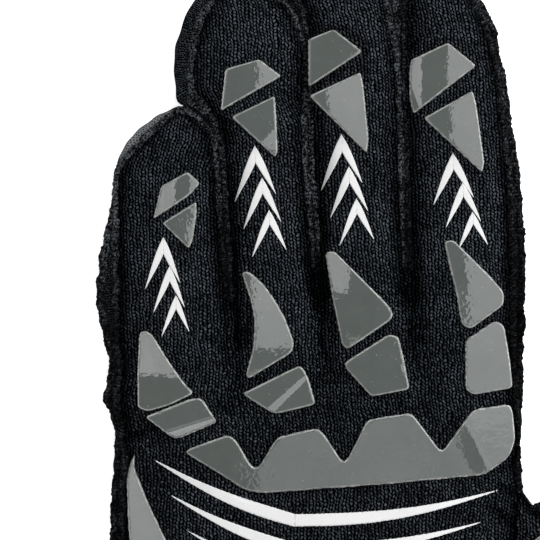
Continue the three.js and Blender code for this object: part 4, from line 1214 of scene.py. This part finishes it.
def panel(inset, cell, height_of, underside_of):
    """Panel over the hand and the four fingers, as one patchwork: each finger is a grid of straight lines
    from its left seam to its right seam, the hand carries the same columns on to the wrist, and narrow grids
    join the fingers at the crotches. height_of gives its top from the kind of grid, the finger, the places,
    the share across the finger, the share across the hand, the reach to the tip and the width."""
    loops = {name: finger_loop(name, inset) for name in FINGERS}
    left_edge, right_edge = hand_edges(inset)
    work = Patchwork()
    spread = np.linspace(0, 1, max(8, int(FINGER_WIDTH / cell)) + 1)
    web_rows = np.linspace(0, 1, int(WEB_LENGTH / cell) + 2)
    names = list(FINGERS)
    sides = {}
    for name in names:
        finger, loop = FINGERS[name], loops[name]
        count = len(finger["rows"])
        upper, _ = evenly(loop, (1, count), cell)
        at = np.concatenate([web_rows, upper[1:]])
        left, right = through(loop, at)[:, None], through(loop, 2 * count - at)[:, None]
        flat = mix(left, right, spread[None, :, None])
        level = through(np.append(finger["rows"][:, 0], finger["tip"][1])[:, None], at)
        reach = np.maximum(finger["tip"][1] - level, 0)
        width = np.linalg.norm(right - left, axis=-1)
        top = height_of("finger", finger, flat, spread[None, :], None, reach, width)
        middle = (left + right)[..., 0] / 2
        place = np.stack([flat[..., 0] - middle + (loop[0][0] + loop[-1][0]) / 2, flat[..., 1]], axis=-1)
        edge = np.minimum(spread, 1 - spread)[None, :] * width
        work.wall(flat, top, underside_of(top), place, edge)
        sides[name] = flat
    for first, second in zip(names[:-1], names[1:]):
        if FINGERS[first]["right_crotch"] == 0:
            continue
        rows = len(web_rows)
        start, end = sides[first][:rows, -1], sides[second][:rows, 0]
        flat = mix(start[:, None], end[:, None], np.linspace(0, 1, 4)[None, :, None])
        reach = np.full((rows, 1), WEB_REACH)
        top = height_of("web", FINGERS[first], flat, np.zeros((1, 4)), None, reach, 1.0)
        work.wall(flat, top, underside_of(top), edge=0)
    down, _ = evenly(left_edge, (0, len(left_edge) - 1), cell)
    left, right = through(left_edge, down)[:, None], through(right_edge, down)[:, None]
    first_x, last_x = loops["little"][0][0], loops["index"][-1][0]
    for number, name in enumerate(names):
        finger, loop = FINGERS[name], loops[name]
        stretches = [(mix(loop[0][0], loop[-1][0], spread), spread)]
        if number + 1 < len(names):
            after = loops[names[number + 1]][0][0]
            stretches.append((np.linspace(loop[-1][0], after, 4), np.ones(4)))
        for top_x, finger_share in stretches:
            share = ((top_x - first_x) / (last_x - first_x))[None, :]
            flat = mix(left, right, share[..., None])
            top = height_of("hand", finger, flat, finger_share[None, :], share, None, None)
            place = np.stack([np.broadcast_to(top_x, flat.shape[:2]), flat[..., 1]], axis=-1)
            edge = hand_edge_distance(finger_share[None, :], share, flat, right - left)
            work.wall(flat, top, underside_of(top), place, edge, turned=0)
    return work


def hand_edge_distance(finger_share, share, flat, across):
    """Distance on the hand to its own seams, to the valley between two fingers just below the crotches, or a
    distance as short as a crease is dark; it sets the knit's painted shade."""
    x, y = flat[..., 0], flat[..., 1]
    outer = np.minimum(share, 1 - share) * across[..., 0]
    valley = np.minimum(finger_share, 1 - finger_share) * FINGER_WIDTH
    valley = valley + np.maximum(FINGERS_START - y, 0) * 0.45
    inside = (share > 0.02) & (share < 0.98)
    edge = np.where(inside, np.minimum(outer, valley), outer)
    return np.minimum(edge, SHADE_REACH - CREASE_SHADE * creases(x, y)[1])


def back_height(kind, finger, flat, finger_share, share, reach, width):
    """Height of the knit back: the source's arches, the slack of the cloth, its creases, and gathers and a
    groove along the seams that fade into the panel."""
    x, y = flat[..., 0], flat[..., 1]
    if kind == "hand":
        height = hand_height(finger, finger_share, share, y)
        edge = np.minimum(share, 1 - share) * HAND_WIDTH
    else:
        height = finger_height(finger, reach, finger_share)
        edge = np.minimum(finger_share, 1 - finger_share) * width
    height = settled(x, y, np.broadcast_to(height, x.shape))
    gathers = GATHER_HEIGHT * np.exp(-edge / GATHER_REACH) * waves(x, y, GATHER_LENGTH, 21)
    groove = -GROOVE_DEPTH * np.exp(-((edge - GROOVE_AT) ** 2))
    return height + relief(x, y) * CLOTH_SLACK + gathers + groove + creases(x, y)[0]


def flat_height(_kind, _finger, flat, *_shares):
    """Height of the palm's inner side: its wall, everywhere."""
    return np.full(flat.shape[:2], PALM_WALL)


class GLOVE_OT_back(bpy.types.Operator):
    """Knit back of the hand and fingers"""
    bl_idname = "glove.back"
    bl_label = "Knit back"

    def execute(self, context):
        """The back is a panel as thick as its wall."""
        work = panel(None, context.scene.glove_cloth.cell, back_height, lambda top: top - BACK_WALL)
        dressed(closed_sheet("knit_back", work), knit_finish(), "knit", "back_panel")
        return {"FINISHED"}


class GLOVE_OT_palm(bpy.types.Operator):
    """Flat suede palm"""
    bl_idname = "glove.palm"
    bl_label = "Suede palm"

    def execute(self, context):
        """The palm is the same panel, flat on the table."""
        work = panel(PALM_INSET, PALM_CELL, flat_height, np.zeros_like)
        dressed(closed_sheet("suede_palm", work), suede_finish(), "suede", "palm_panel")
        return {"FINISHED"}


# Side strips. Columns: the stops that each one runs between, how far its belly bulges out.

STRIPS = {
    "side_wall_little": ("hand left 13", "little tip", 0.0),
    "fourchette_little_ring": ("little tip", "ring tip", 0.6),
    "fourchette_ring_middle": ("ring tip", "middle tip", 1.0),
    "fourchette_middle_index": ("middle tip", "index tip", 0.9),
    "side_wall_index": ("index tip", "thumb upper 0", 0.0),
    "thumb_wall": ("thumb upper 0", "thumb lower 0", 0.0),
    "side_wall_wrist": ("thumb lower 0", "hand right 13", 0.0),
}


def strip_surface(start, end, bulge):
    """Side strip: a profile of five stages from the palm's edge out over its belly and in to the seam,
    carried along the outline. The belly waves a little along the strip."""
    at, run = OUTLINE.between(start, end, STRIP_STEP)
    place, inward, seam, side = OUTLINE.read(at)
    puckers = 0.35 * jitter(run, 5.5, 31) + 0.25 * jitter(run, 15, 32)
    low = PALM_WALL - STRIP_LAP
    belly = puckers * 0.6 - bulge
    foot = np.full_like(seam, STRIP_FOOT)
    insets = (foot, 0.15 - bulge * 0.5 + puckers * 0.2, belly, seam * 0.25 + belly, seam)
    stages = np.stack([
        np.stack([inset, mix(low, side, climb)], axis=-1) for inset, climb in zip(insets, STRIP_CLIMBS)])
    profile = through(stages.reshape(len(stages), -1), np.linspace(0, len(stages) - 1, STRIP_COLUMNS))
    profile = profile.reshape(STRIP_COLUMNS, -1, 2).transpose(1, 0, 2)
    inset, height = profile[..., 0], profile[..., 1]
    flat = place[:, None] + inward[:, None] * inset[..., None]
    inner_flat = flat + inward[:, None] * SIDE_WALL * 0.8
    inner_height = np.maximum(height - 0.5 * SIDE_WALL * np.linspace(0, 1, STRIP_COLUMNS), low)
    climb = np.cumsum(np.linalg.norm(np.diff(profile, axis=1, prepend=profile[:, :1]), axis=-1), axis=1)
    places = np.stack([np.broadcast_to(run[:, None], climb.shape), climb], axis=-1)
    outer, inner = np.dstack([flat, height]), np.dstack([inner_flat, inner_height])
    work = Patchwork()
    work.grid(outer[:, ::-1], inner[:, ::-1], places[:, ::-1])
    return work


class GLOVE_OT_side_walls(bpy.types.Operator):
    """Woven side walls and fourchettes"""
    bl_idname = "glove.side_walls"
    bl_label = "Woven side walls"

    def execute(self, context):
        """Each strip runs from one stop of the outline to another."""
        for node, (start, end, bulge) in STRIPS.items():
            piece = closed_sheet(f"woven_{node}", strip_surface(start, end, bulge))
            dressed(piece, woven_finish(), "woven", node)
        return {"FINISHED"}


def thumb_grid(inset, base_inset, cell):
    """Lines from the thumb's upper seam to its lower seam, from the hand to the tip: their places, the reach
    to the tip, the share across, and how far they have risen out of the hand."""
    base = HAND_ROWS[THUMB_FIRST_ROW:THUMB_LAST_ROW + 1]
    count = len(THUMB["rows"])
    loop = thumb_loop(inset)
    at, _ = evenly(loop, (0, count), cell)
    share = np.linspace(0, 1, max(8, int(THUMB_WIDTH / cell)))
    flat = mix(through(loop, at)[:, None], through(loop, 2 * count - at)[:, None], share[None, :, None])
    step = share * (len(base) - 1)
    root_x = np.interp(step, range(len(base)), base[:, 2] - base_inset) + THUMB_GAP
    root_y = np.interp(step, range(len(base)), base[:, 0])
    root = np.stack([root_x, root_y], axis=-1)
    join = np.linspace(0, 1, JOIN_ROWS)[:-1]
    joins = mix(root[None], flat[:1], join[:, None, None])
    reach = np.interp(at, range(count + 1), np.append(thumb_reach(), 0))
    reach = np.concatenate([np.full(len(join), reach[0]), reach])
    rise = np.concatenate([smooth(join), np.ones(len(at))])
    return np.concatenate([joins, flat]), reach[:, None], share[None, :], rise[:, None]


class GLOVE_OT_thumb(bpy.types.Operator):
    """Thumb's knit back and suede palm"""
    bl_idname = "glove.thumb"
    bl_label = "Thumb"

    def execute(self, context):
        """Both are one grid, the back with the thumb's height and slack and the palm flat."""
        base = HAND_ROWS[THUMB_FIRST_ROW:THUMB_LAST_ROW + 1]
        flat, reach, share, rise = thumb_grid(None, base[:, 4], context.scene.glove_cloth.cell)
        height = thumb_height(reach, share, rise) + relief(flat[..., 0], flat[..., 1])
        back, palm = Patchwork(), Patchwork()
        edge = np.minimum(share, 1 - share) * THUMB_WIDTH
        back.wall(flat, height, height - BACK_WALL, edge=edge, turned=1)
        dressed(closed_sheet("knit_thumb", back), knit_finish(), "knit", "thumb_back")
        flat = thumb_grid(PALM_INSET, PALM_INSET, PALM_CELL)[0]
        top = flat_height("thumb", THUMB, flat)
        palm.wall(flat, top, np.zeros_like(top), turned=1)
        dressed(closed_sheet("suede_thumb", palm), suede_finish(), "suede", "thumb_palm")
        return {"FINISHED"}


class GLOVE_OT_cuff(bpy.types.Operator):
    """Ribbed cuff with its hem"""
    bl_idname = "glove.cuff"
    bl_label = "Cuff"

    def execute(self, context):
        """The cuff's ring is an ellipse squared off with powers 0.75 and 0.6, carried to the hem, with
        upright ribs and a rolled hem at the end. Its first millimetres are tucked in under the hand's
        panels."""
        _y, left, right = HAND_ROWS[-1][:3]
        along = np.linspace(WRIST_Y + CUFF_OVERLAP, CUFF_END, CUFF_ROWS)
        turn = full_turn(CUFF_SIDES)
        across, up = (
            np.sign(value) * np.abs(value) ** power
            for value, power in ((np.cos(turn), 0.75), (np.sin(turn), 0.6)))
        hem = HEM_SWELL * np.sin(np.clip((along - CUFF_END) / HEM_LENGTH, 0, 1) * math.pi)
        ribs = RIB_HEIGHT * np.sin(turn * RIBS) * smooth((along - CUFF_END - HEM_LENGTH) / 3)[:, None]
        tuck = CUFF_TUCK * smooth(along - WRIST_Y + 1.0)
        spread = (hem - tuck)[:, None] + ribs
        levels = np.broadcast_to(along[:, None], spread.shape)
        half = CROWN_WRIST / 2

        def ring(shrink):
            """Points of the outer ring, or of the inner one that is smaller by the wall."""
            x = (left + right) / 2 + ((right - left) / 2 - shrink + spread) * across
            z = half + (half - shrink + spread) * up
            return np.dstack([x, levels, np.maximum(z, shrink)])[::-1, ::-1]

        work = Patchwork()
        places = np.dstack([np.broadcast_to(turn * CUFF_RADIUS, spread.shape), levels])
        work.grid(ring(0.0), ring(CUFF_WALL), places[::-1, ::-1], closed=True)
        dressed(closed_sheet("knit_cuff", work), cuff_finish(), "knit", "cuff")
        return {"FINISHED"}


class GLOVE_OT_pads(bpy.types.Operator):
    """Moulded rubber pads"""
    bl_idname = "glove.pads"
    bl_label = "Moulded pads"

    def execute(self, context):
        """A pad lies on the cloth; its top rises from a low wall over a quarter-circle rim. Its map holds the
        distance to its outline, for the painted highlight along the rim."""
        settings = context.scene.glove_pads
        for node, row in PADS.items():
            plate = PLATES.get(node) or Plate(*row, thumb_height_at)
            flat = plate.grid(*(BAR_GRID if node == "knuckle_bar" else PAD_GRID))
            distance = edge_distance(flat, plate.outline)
            base = thumb_height_at(flat[..., 0], flat[..., 1]) if node == "thumb_pad" else plate.surface(flat)
            rim = np.clip(distance / settings.rim, 0, 1)
            lift = mix(PAD_WALL, settings.thickness, np.sqrt(np.clip(1 - (1 - rim)**2, 0, 1)))
            work = Patchwork()
            work.wall(flat, base + lift, base - PAD_SINK, np.dstack([distance, distance]))
            dressed(closed_sheet(f"rubber_{node}", work), rubber_finish(), "rubber", node)
        return {"FINISHED"}


def thumb_height_at(x, y):
    """Height of the thumb's back over a place: its share across is the ratio of the distances to both
    seams."""
    count = len(THUMB["rows"])
    loop = thumb_loop()
    fine = np.linspace(0, count, 300)
    place = np.stack([x, y], axis=-1)
    to_upper, to_lower = (
        np.linalg.norm(place[..., None, :] - through(seam, fine), axis=-1).min(axis=-1)
        for seam in (loop[:count + 1], loop[:count - 1:-1]))
    share = to_upper / np.maximum(to_upper + to_lower, 1e-6)
    reach = np.linalg.norm(place - np.array(THUMB["tip"]), axis=-1)
    return thumb_height(reach, share, smooth((x - THUMB_ROOT_X) / THUMB_ROOT_LENGTH)) + relief(x, y)


# Stretches of the outline with a smooth cap in place of a fluffy cord

SMOOTH_CAPS = (("little left 5", "little left 8"), ("ring left 7", "ring left 12"))


def fluff(at):
    """1 where the seam has an outer cord that reaches the silhouette, and 0 along a smooth cap, with a soft
    change over about one stop."""
    share = np.ones_like(at)
    for start, end in SMOOTH_CAPS:
        first, last = OUTLINE.number[start], OUTLINE.number[end]
        share = np.minimum(share, 1 - smooth(at - first + 0.8) * smooth(last - at + 0.8))
    return share


def seam_cord(start, end, step, outer):
    """Line of a seam's cord. The inner cord lies on the panel's edge. The outer one lies beside it along the
    silhouette where the seam is wide, and shrinks into it elsewhere. Both are slimmer down in the crotches.
    Gives the line, the way inwards, its run and the cord's radius."""
    at, run = OUTLINE.between(start, end, step)
    place, inward, seam, side = OUTLINE.read(at)
    wide = smooth((seam - 1.5) / 0.7) * fluff(at)
    among = smooth((CROTCHES_HALF - np.abs(place[:, 0] - CROTCHES_MIDDLE)) / 4)
    slim = 1 - 0.35 * among * smooth((CROTCHES_TOP - place[:, 1]) / 25)
    if outer:
        inset = mix(np.maximum(seam - 0.5, 0.6), np.full_like(seam, 0.7), wide)
        radius = mix(0.35, np.clip(seam * 0.28, 0.7, 1.05), wide)
        drop = 0.9 * wide
    else:
        inset = np.where(seam < 1.2, 0.5, seam - 0.5)
        radius = np.clip(0.55 + seam * 0.12, 0.75, 0.95)
        drop = 0.0
    flat = place + inward * inset[:, None]
    height = side + 0.25 - drop + relief(flat[:, 0], flat[:, 1]) * CLOTH_SLACK
    return np.column_stack([flat, height]), np.column_stack([inward, np.zeros(len(at))]), run, radius * slim


SEAM_LINES = (
    ("hand left 13", "hand right 6"), ("thumb upper 0", "thumb lower 0"), ("hand right 10", "hand right 13"))


def at_marks(marks, run, line):
    """Points of a line at marks of its run, by straight steps."""
    return np.stack([np.interp(marks, run, line[:, axis]) for axis in range(3)], axis=-1)


def stitch_arcs(path, inward, run, radius, pitch):
    """Overlock stitches: arcs of six points over the cord, one about every pitch with gaps, leaning along
    it."""
    random = np.random.default_rng(71)
    marks = np.arange(1.0, run[-1] - 1, pitch)
    marks = marks + random.uniform(-0.35, 0.35, len(marks))
    marks = marks[random.uniform(size=len(marks)) < 0.4]
    inner = at_marks(marks, run, inward)
    inner = inner / np.linalg.norm(inner, axis=1, keepdims=True)
    ahead = np.cross(UP, inner)
    turn = np.linspace(0.05, 1.0, 6)[None, :, None] * math.pi
    size = (np.interp(marks, run, radius) * random.uniform(0.98, 1.12, len(marks)))[:, None, None]
    lean = random.uniform(0.1, 0.9, len(marks))[:, None, None]
    return at_marks(marks, run, path)[:, None] + size * (
        inner[:, None] * np.cos(turn) + UP * np.sin(turn) + ahead[:, None] * lean * np.cos(turn))


def hair_strands(path, run, radius, count, seed):
    """Loose hairs: two short stretches that bend, starting inside the roll and reaching out of it."""
    random = np.random.default_rng(seed)
    marks = random.uniform(1, run[-1] - 1, count)
    way = random.normal(size=(count, 3))
    way[:, 2] = np.abs(way[:, 2]) * 0.8
    way = way / np.linalg.norm(way, axis=1, keepdims=True)
    bend = random.normal(size=(count, 3)) * 0.4
    length = random.uniform(0.4, 1.1, count)[:, None, None]
    t = np.linspace(0, 1, 3)[None, :, None]
    reach = np.interp(marks, run, radius)[:, None, None] * 0.85
    start = at_marks(marks, run, path)[:, None] + way[:, None] * reach
    return start + length * (way[:, None] * t + bend[:, None] * t**2)


def add_prisms(work, lines, radii):
    """Adds many short lines [line, point, xyz] as three-sided tubes with a radius at each point. Both ends
    are closed by rings shrunk to a point."""
    step = np.gradient(lines, axis=1)
    step = step / np.maximum(np.linalg.norm(step, axis=2, keepdims=True), 1e-9)
    level = np.cross(step, [0.31, 0.17, 0.93])
    level = level / np.maximum(np.linalg.norm(level, axis=2, keepdims=True), 1e-9)
    rise = np.cross(level, step)
    turn = full_turn(3)[None, None, :, None]
    rings = lines[:, :, None] + np.array(radii)[None, :, None, None] * (
        level[:, :, None] * np.cos(turn) + rise[:, :, None] * np.sin(turn))
    caps = [np.repeat(lines[:, end][:, None, None], 3, axis=2) for end in (0, -1)]
    rings = np.concatenate([caps[0], rings, caps[1]], axis=1)
    number = np.arange(rings[..., 0].size).reshape(rings.shape[:3])
    number = np.concatenate([number, number[:, :, :1]], axis=2)
    start, end = number[:, :-1], number[:, 1:]
    quads = np.stack([start[..., :-1], start[..., 1:], end[..., 1:], end[..., :-1]], axis=-1)
    places = rings.copy()
    places[..., 2] = FAR
    work.add(rings, rings, places, quads)


class GLOVE_OT_seams(bpy.types.Operator):
    """Fluffy cords along the seams, with overlock stitches and loose hairs"""
    bl_idname = "glove.seams"
    bl_label = "Seams"

    def execute(self, context):
        """A cord is a lumpy tube along its line, with a nubbly skin; stitches are short arcs over it; hairs
        are thin tapered prisms that start on it and lean anyhow."""
        settings = context.scene.glove_seams
        ridges, threads = Patchwork(), Patchwork()
        for number, (start, end) in enumerate(SEAM_LINES):
            for outer in (False, True):
                seed = 41 + number * 2 + int(outer)
                path, inward, run, radius = seam_cord(start, end, CORD_STEP, outer)
                lumps = 1 + 0.12 * jitter(run, 2.1, seed) + 0.14 * jitter(run, 6, seed + 10)
                path = path + inward * (0.22 * jitter(run, 5.5, seed + 20))[:, None]
                ends = np.minimum(1, np.minimum(run, run[-1] - run) / 0.5)
                around = radius[:, None] * full_turn(CORD_SIDES)
                skin = waves(run[:, None] + 0.5 * around, around, 1.1, seed + 30, 24)
                size = ((radius * lumps)[:, None] + 0.13 * skin) * np.maximum(ends, 0.02)[:, None]
                places = np.stack([np.broadcast_to(run[:, None], size.shape), around], axis=-1)
                ridges.grid(tube(path, size), places=places, closed=True)
                hairs = settings.hairs * len(run) // HAIR_STEPS
                add_prisms(threads, hair_strands(path, run, radius, hairs, seed + 40), HAIR_RADII)
                if not outer:
                    arcs = stitch_arcs(path, inward, run, radius, settings.loop_pitch)
                    add_prisms(threads, arcs, THREAD_RADII)
        for name, work, finish_of in (("ridges", ridges, seam_finish), ("threads", threads, thread_finish)):
            points, _, places, faces = work.welded()
            dressed(fill_object(f"seam_{name}", points, faces, places), finish_of(), "woven")
        return {"FINISHED"}


def chevron_arm(work, tip, reach, width, seed):
    """Adds one arm of a chevron, from the upright middle line out to its thin end: a band along a bowed line
    that swells from the end and is cut upright at the point, with slightly uneven edges. It lies on the
    cloth."""
    length = float(np.linalg.norm(reach))
    share = np.linspace(0, 1, max(12, int(length / 0.35)))
    taper = (1 - share) ** 0.75 * (0.72 + 0.28 * np.sin(share * math.pi)) + 0.03
    upright = width / 2 * length / abs(reach[0])
    half = upright * taper + 0.05 * jitter(share * length, 0.9, seed)
    line = tip + share[:, None] * reach
    line[:, 1] -= 0.04 * length * np.sin(share * math.pi) * np.sign(reach[1])
    spread = np.linspace(-1, 1, FILM_COLUMNS) * math.copysign(1, reach[0])
    levels = line[:, 1:] + half[:, None] * spread
    flat = np.dstack([np.broadcast_to(line[:, :1], levels.shape), levels])
    height = cloth_height(flat[..., 0], flat[..., 1])
    work.wall(flat, height + FILM_LIFT, height - FILM_SINK, turned=1)


class GLOVE_OT_print(bpy.types.Operator):
    """Printed chevrons"""
    bl_idname = "glove.print"
    bl_label = "Printed chevrons"

    def execute(self, context):
        """Each chevron is two arms that meet at its point, and each stack shrinks from one to the next."""
        work = Patchwork()
        seed = 81
        for point, step, count, left, right, shrink, width in CHEVRON_STACKS:
            for number in range(count):
                scale = 1 - shrink * number
                tip = np.array(point) + np.array(step) * number
                for reach in (left, right):
                    seed += 1
                    chevron_arm(work, tip, np.array(reach) * scale, width * scale, seed)
        dressed(closed_sheet("printed_chevrons", work), film_finish(), "print")
        return {"FINISHED"}


# Lights. Columns: place in metres, width and length in metres, brightness beside the softbox setting. The
# boxes hang level round the camera, with dark gaps between them; the rim strip stands low at the upper right.

LIGHTS = {
    "right_box": ((1.05, 0.59, 1.0), (1.90, 1.22), 0.82),
    "right_low_box": ((1.16, -0.24, 1.0), (1.68, 0.44), 0.66),
    "left_box": ((-0.27, 0.60, 1.0), (0.30, 1.20), 0.87),
    "middle_box": ((0.060, -0.250, 1.0), (0.36, 0.22), 0.36),
    "foot_strip": ((0.05, -0.62, 1.0), (1.10, 0.30), 1.0),
    "rim_strip": ((1.05, 1.05, 0.62), (1.70, 0.10), 3.0),
}

# Camera and floor. The place under the camera, the pads' height and half the floor's width are in metres, and
# the sensor is in millimetres.

CAMERA_OVER = (-0.01224, 0.03315)
PAD_LEVEL = 0.012
SENSOR = 36.0
FLOOR_HALF = 4.0


class GLOVE_OT_stage(bpy.types.Operator):
    """Floor, light and camera"""
    bl_idname = "glove.stage"
    bl_label = "Stage"

    def execute(self, context):
        """The room is an even grey; the camera looks straight down."""
        scene, settings = context.scene, context.scene.glove_stage
        scene.view_settings.view_transform = "Standard"
        floor = bpy.data.objects.new("floor", bpy.data.meshes.new("floor"))
        corners = [(x * FLOOR_HALF, y * FLOOR_HALF, 0) for x, y in ((-1, -1), (1, -1), (1, 1), (-1, 1))]
        floor.data.from_pydata(corners, [], [(0, 1, 2, 3)])
        floor.data.materials.append(paper_finish())
        scene.collection.objects.link(floor)

        world = bpy.data.worlds.new("grey room")
        world.use_nodes = True
        background = world.node_tree.nodes["Background"]
        background.inputs["Color"].default_value = (1.0, 1.0, 1.0, 1.0)
        background.inputs["Strength"].default_value = settings.surroundings
        scene.world = world

        for name, (place, size, brightness) in LIGHTS.items():
            self.add_light(scene, name, place, size, brightness * settings.softbox)

        lens = bpy.data.cameras.new("camera")
        lens.sensor_width = SENSOR
        lens.lens = SENSOR * settings.view_distance / settings.view_width
        lens.clip_end = 20.0
        camera = bpy.data.objects.new("camera", lens)
        camera.location = (*CAMERA_OVER, settings.view_distance + PAD_LEVEL)
        scene.collection.objects.link(camera)
        scene.camera = camera
        return {"FINISHED"}

    def add_light(self, scene, name, place, size, radiance):
        """A soft light, a little cloudy across its face, whose energy is pi times its area and radiance."""
        light = bpy.data.lights.new(name, "AREA")
        light.shape = "RECTANGLE"
        light.size, light.size_y = size
        light.energy = radiance * math.pi * size[0] * size[1]
        light.use_nodes = True
        tree = Tree(light.node_tree)
        cloud = tree.noise(tree.add("ShaderNodeNewGeometry").outputs["Parametric"], 3.5, 2.0, 0.6)
        strength = tree.range(cloud, 0.3, 0.7, 0.82, 1.16)
        tree.feed(light.node_tree.nodes["Emission"].inputs["Strength"], strength)
        lamp = bpy.data.objects.new(name, light)
        lamp.location = place
        if name == "rim_strip":
            lamp.rotation_euler = (-Vector(place)).to_track_quat("-Z", "Y").to_euler()
        lamp.visible_camera = False
        scene.collection.objects.link(lamp)


class GLOVE_PT_panel(bpy.types.Panel):
    """Pieces and sizes of the glove"""
    bl_label = "Racing glove"
    bl_idname = "GLOVE_PT_panel"
    bl_space_type = "VIEW_3D"
    bl_region_type = "UI"
    bl_category = "Glove"

    def draw(self, context):
        """Buttons for the pieces, then their settings."""
        for operator in OPERATORS:
            self.layout.operator(operator.bl_idname)
        for name, settings in SETTINGS.items():
            group_settings = getattr(context.scene, name)
            for field in settings.__annotations__:
                self.layout.prop(group_settings, field)


SETTINGS = {
    "glove_cloth": GloveClothSettings, "glove_pads": GlovePadSettings, "glove_seams": GloveSeamSettings,
    "glove_stage": GloveStageSettings,
}
OPERATORS = (
    GLOVE_OT_back, GLOVE_OT_palm, GLOVE_OT_side_walls, GLOVE_OT_thumb, GLOVE_OT_cuff, GLOVE_OT_pads,
    GLOVE_OT_seams, GLOVE_OT_print, GLOVE_OT_stage,
)


def register():
    """Registers the settings, the operators and the panel."""
    for part in (*SETTINGS.values(), *OPERATORS, GLOVE_PT_panel):
        bpy.utils.register_class(part)
    for name, settings in SETTINGS.items():
        setattr(bpy.types.Scene, name, PointerProperty(type=settings))


def unregister():
    """Takes all of them away again."""
    for name in SETTINGS:
        delattr(bpy.types.Scene, name)
    for part in reversed((*SETTINGS.values(), *OPERATORS, GLOVE_PT_panel)):
        bpy.utils.unregister_class(part)


def main():
    """Makes every piece in order."""
    register()
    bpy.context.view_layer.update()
    for operator in OPERATORS:
        family, name = operator.bl_idname.split(".")
        getattr(getattr(bpy.ops, family), name)()


if __name__ == "__main__":
    main()
